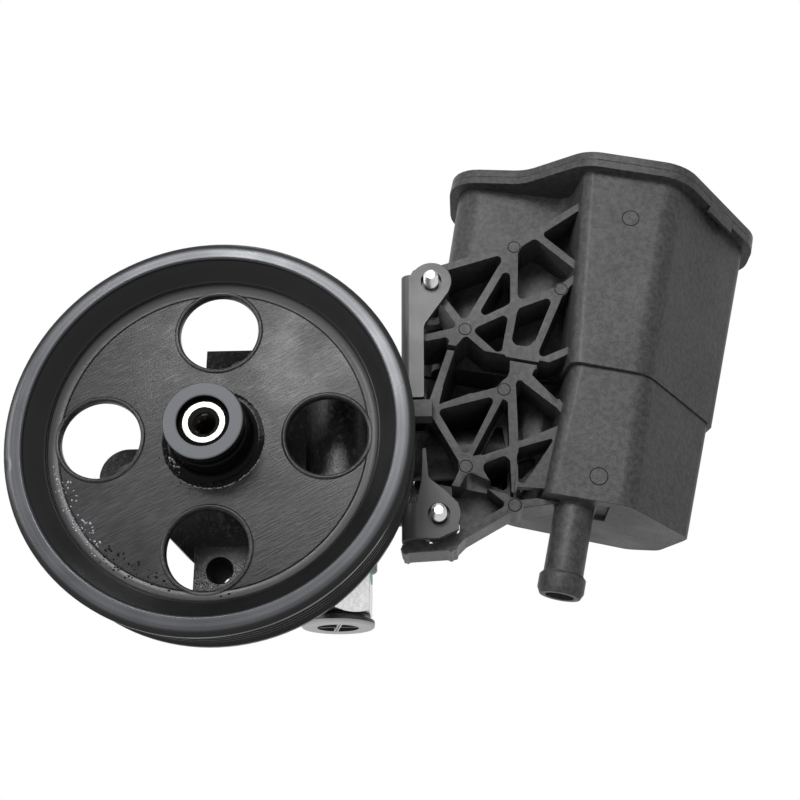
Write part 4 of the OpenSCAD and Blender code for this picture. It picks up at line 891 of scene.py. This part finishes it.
for number, (x, z) in enumerate(BOLT_PLACES, start=1):
    shape = bmesh.new()
    corners = [shape.verts.new((r, y, 0)) for r, y in BOLT_OUTLINE]
    rows = [shape.edges.new(pair) for pair in zip(corners, corners[1:])]
    bmesh.ops.spin(
        shape, geom=corners + rows, axis=(0, 1, 0), cent=(0, 0, 0), angle=FULL_TURN,
        steps=BOLT_STEPS, use_merge=True,
    )
    bmesh.ops.remove_doubles(shape, verts=shape.verts, dist=MERGE)
    bmesh.ops.create_cone(
        shape, cap_ends=True, segments=6, radius1=HEAD_R, radius2=HEAD_R,
        depth=BOLT_END - HEAD_FRONT, matrix=head_place,
    )
    bmesh.ops.recalc_face_normals(shape, faces=shape.faces)
    ridge = bmesh.new()
    screw_ridge(
        ridge, BOLT_CORE - ROOT_SUNK, BOLT_R, BOLT_TIP + BOLT_THREAD_START,
        BOLT_PITCH, bolt_turns, 0.9 * BOLT_PITCH,
    )
    carrier = bpy.data.meshes.new("ridge")
    ridge.to_mesh(carrier)
    ridge.free()
    shape.from_mesh(carrier)
    bpy.data.meshes.remove(carrier)
    bmesh.ops.translate(shape, verts=shape.verts, vec=(x, 0, z))
    bolt = add_piece(f"reservoir_bolt_{number}", shape, zinc["zinc"], "pump", crease=30)
    if number == 1:
        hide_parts("reservoir_bolts")

# Filler cap and dipstick. Black moulded screw cap with a finger bar and grip ribs, which turns on the
# lid's neck, and the dipstick under it.
cap_plastic, tree, shader, place = new_material("cap_plastic")
skin = use(tree, sand_skin, place, Scale=2000.0)
set_shader(
    tree, shader,
    Base_Color=mix(tree, skin["Tone"], grey(0.014), grey(0.024)),
    Roughness=ramp(tree, skin["Tone"], 0.3, 0.7, 0.36, 0.46),
    Normal=bump(tree, skin["Height"], 0.08 * MM, 0.5),
)
coat(["dipstick"], cap_plastic)
round_edges("filler_cap", ROUND, cap_plastic, "cap")

# Studio. The camera stands where the picture was taken, below and in front of the pump, among soft lamps
# in a white room with a pale floor.
CAMERA_AT = Vector((0.0934, -0.4913, -0.1470))
CAMERA_FORWARD = Vector((-0.0507, 0.9363, 0.3476))
scene = bpy.context.scene
camera = bpy.data.objects.new("camera", bpy.data.cameras.new("camera"))
scene.collection.objects.link(camera)
camera.location = CAMERA_AT
camera.rotation_euler = CAMERA_FORWARD.to_track_quat("-Z", "Y").to_euler()
camera.data.lens = 55.45
camera.data.sensor_width = 36
camera.data.clip_start = 0.01
scene.camera = camera
scene.view_settings.view_transform = "Standard"

MIDDLE = Vector((0.075, -0.03, 0.03))
WATTS_PER_RADIANCE = 4


def softbox(name, at, width, height, radiance):
    """Large soft lamp of a given surface brightness, aimed at the middle of the pump."""
    lamp = bpy.data.lights.new(name, "AREA")
    lamp.shape = "RECTANGLE"
    lamp.size = width
    lamp.size_y = height
    lamp.energy = radiance * WATTS_PER_RADIANCE * width * height
    holder = bpy.data.objects.new(name, lamp)
    holder.location = at
    holder.rotation_euler = (MIDDLE - Vector(at)).to_track_quat("-Z", "Y").to_euler()
    scene.collection.objects.link(holder)


softbox("front_box", (-0.11, -0.95, 0.46), 0.32, 0.28, 20)
softbox("left_box", (-0.85, -0.7, 0.28), 0.5, 0.45, 8)
softbox("top_box", (0.1, -0.1, 1.1), 0.5, 0.3, 5)
softbox("right_box", (0.25, -0.94, 0.5), 0.36, 0.34, 6)

# the room lights the pump softly, and is white where the camera or a reflection sees it
ROOM_LEVEL = 0.15
world = bpy.data.worlds.new("white_room")
scene.world = world
world.use_nodes = True
tree = world.node_tree
tree.nodes.clear()
rays = put(tree, "LightPath").outputs
mirrored = calc(tree, "MAXIMUM", rays["Is Glossy Ray"], rays["Is Transmission Ray"])
shown = calc(tree, "MAXIMUM", rays["Is Camera Ray"], mirrored)
level = put(tree, "Mix", {0: shown, 2: ROOM_LEVEL, 3: 1.0}).outputs[0]
white = put(tree, "Background", {"Color": (1, 1, 1, 1), "Strength": level})
put(tree, "OutputWorld", {"Surface": white.outputs[0]})

# floor: plain white further out, while near the pump half of its own shade shows, with the soft shadow
FLOOR_AT = -0.2
FLOOR_HALF = 3.0
SHADE_R = 0.3
PAPER_R = 0.9
shape = bmesh.new()
floor_place = Matrix.Translation((0, 0, FLOOR_AT))
bmesh.ops.create_grid(shape, x_segments=1, y_segments=1, size=FLOOR_HALF, matrix=floor_place)
mesh = bpy.data.meshes.new("floor")
shape.to_mesh(mesh)
shape.free()
floor = bpy.data.objects.new("floor", mesh)
scene.collection.objects.link(floor)
pale, tree, shader, place = new_material("pale_floor")
set_shader(tree, shader, Base_Color=grey(0.8), Roughness=0.9)
rays = put(tree, "LightPath").outputs
mirrored = calc(tree, "MAXIMUM", rays["Is Glossy Ray"], rays["Is Transmission Ray"])
shown = calc(tree, "MAXIMUM", rays["Is Camera Ray"], mirrored)
away = put(tree, "VectorMath", {0: place}, operation="LENGTH").outputs["Value"]
paper = calc(tree, "MULTIPLY", shown, ramp(tree, away, SHADE_R, PAPER_R, 0.5, 1.0))
glow = put(tree, "Emission", {"Color": (1, 1, 1, 1), "Strength": 1.0}).outputs[0]
blend = put(tree, "MixShader", {0: paper, 1: shader.outputs[0], 2: glow}).outputs[0]
tree.links.new(blend, tree.nodes["Material Output"].inputs["Surface"])
mesh.materials.append(pale)
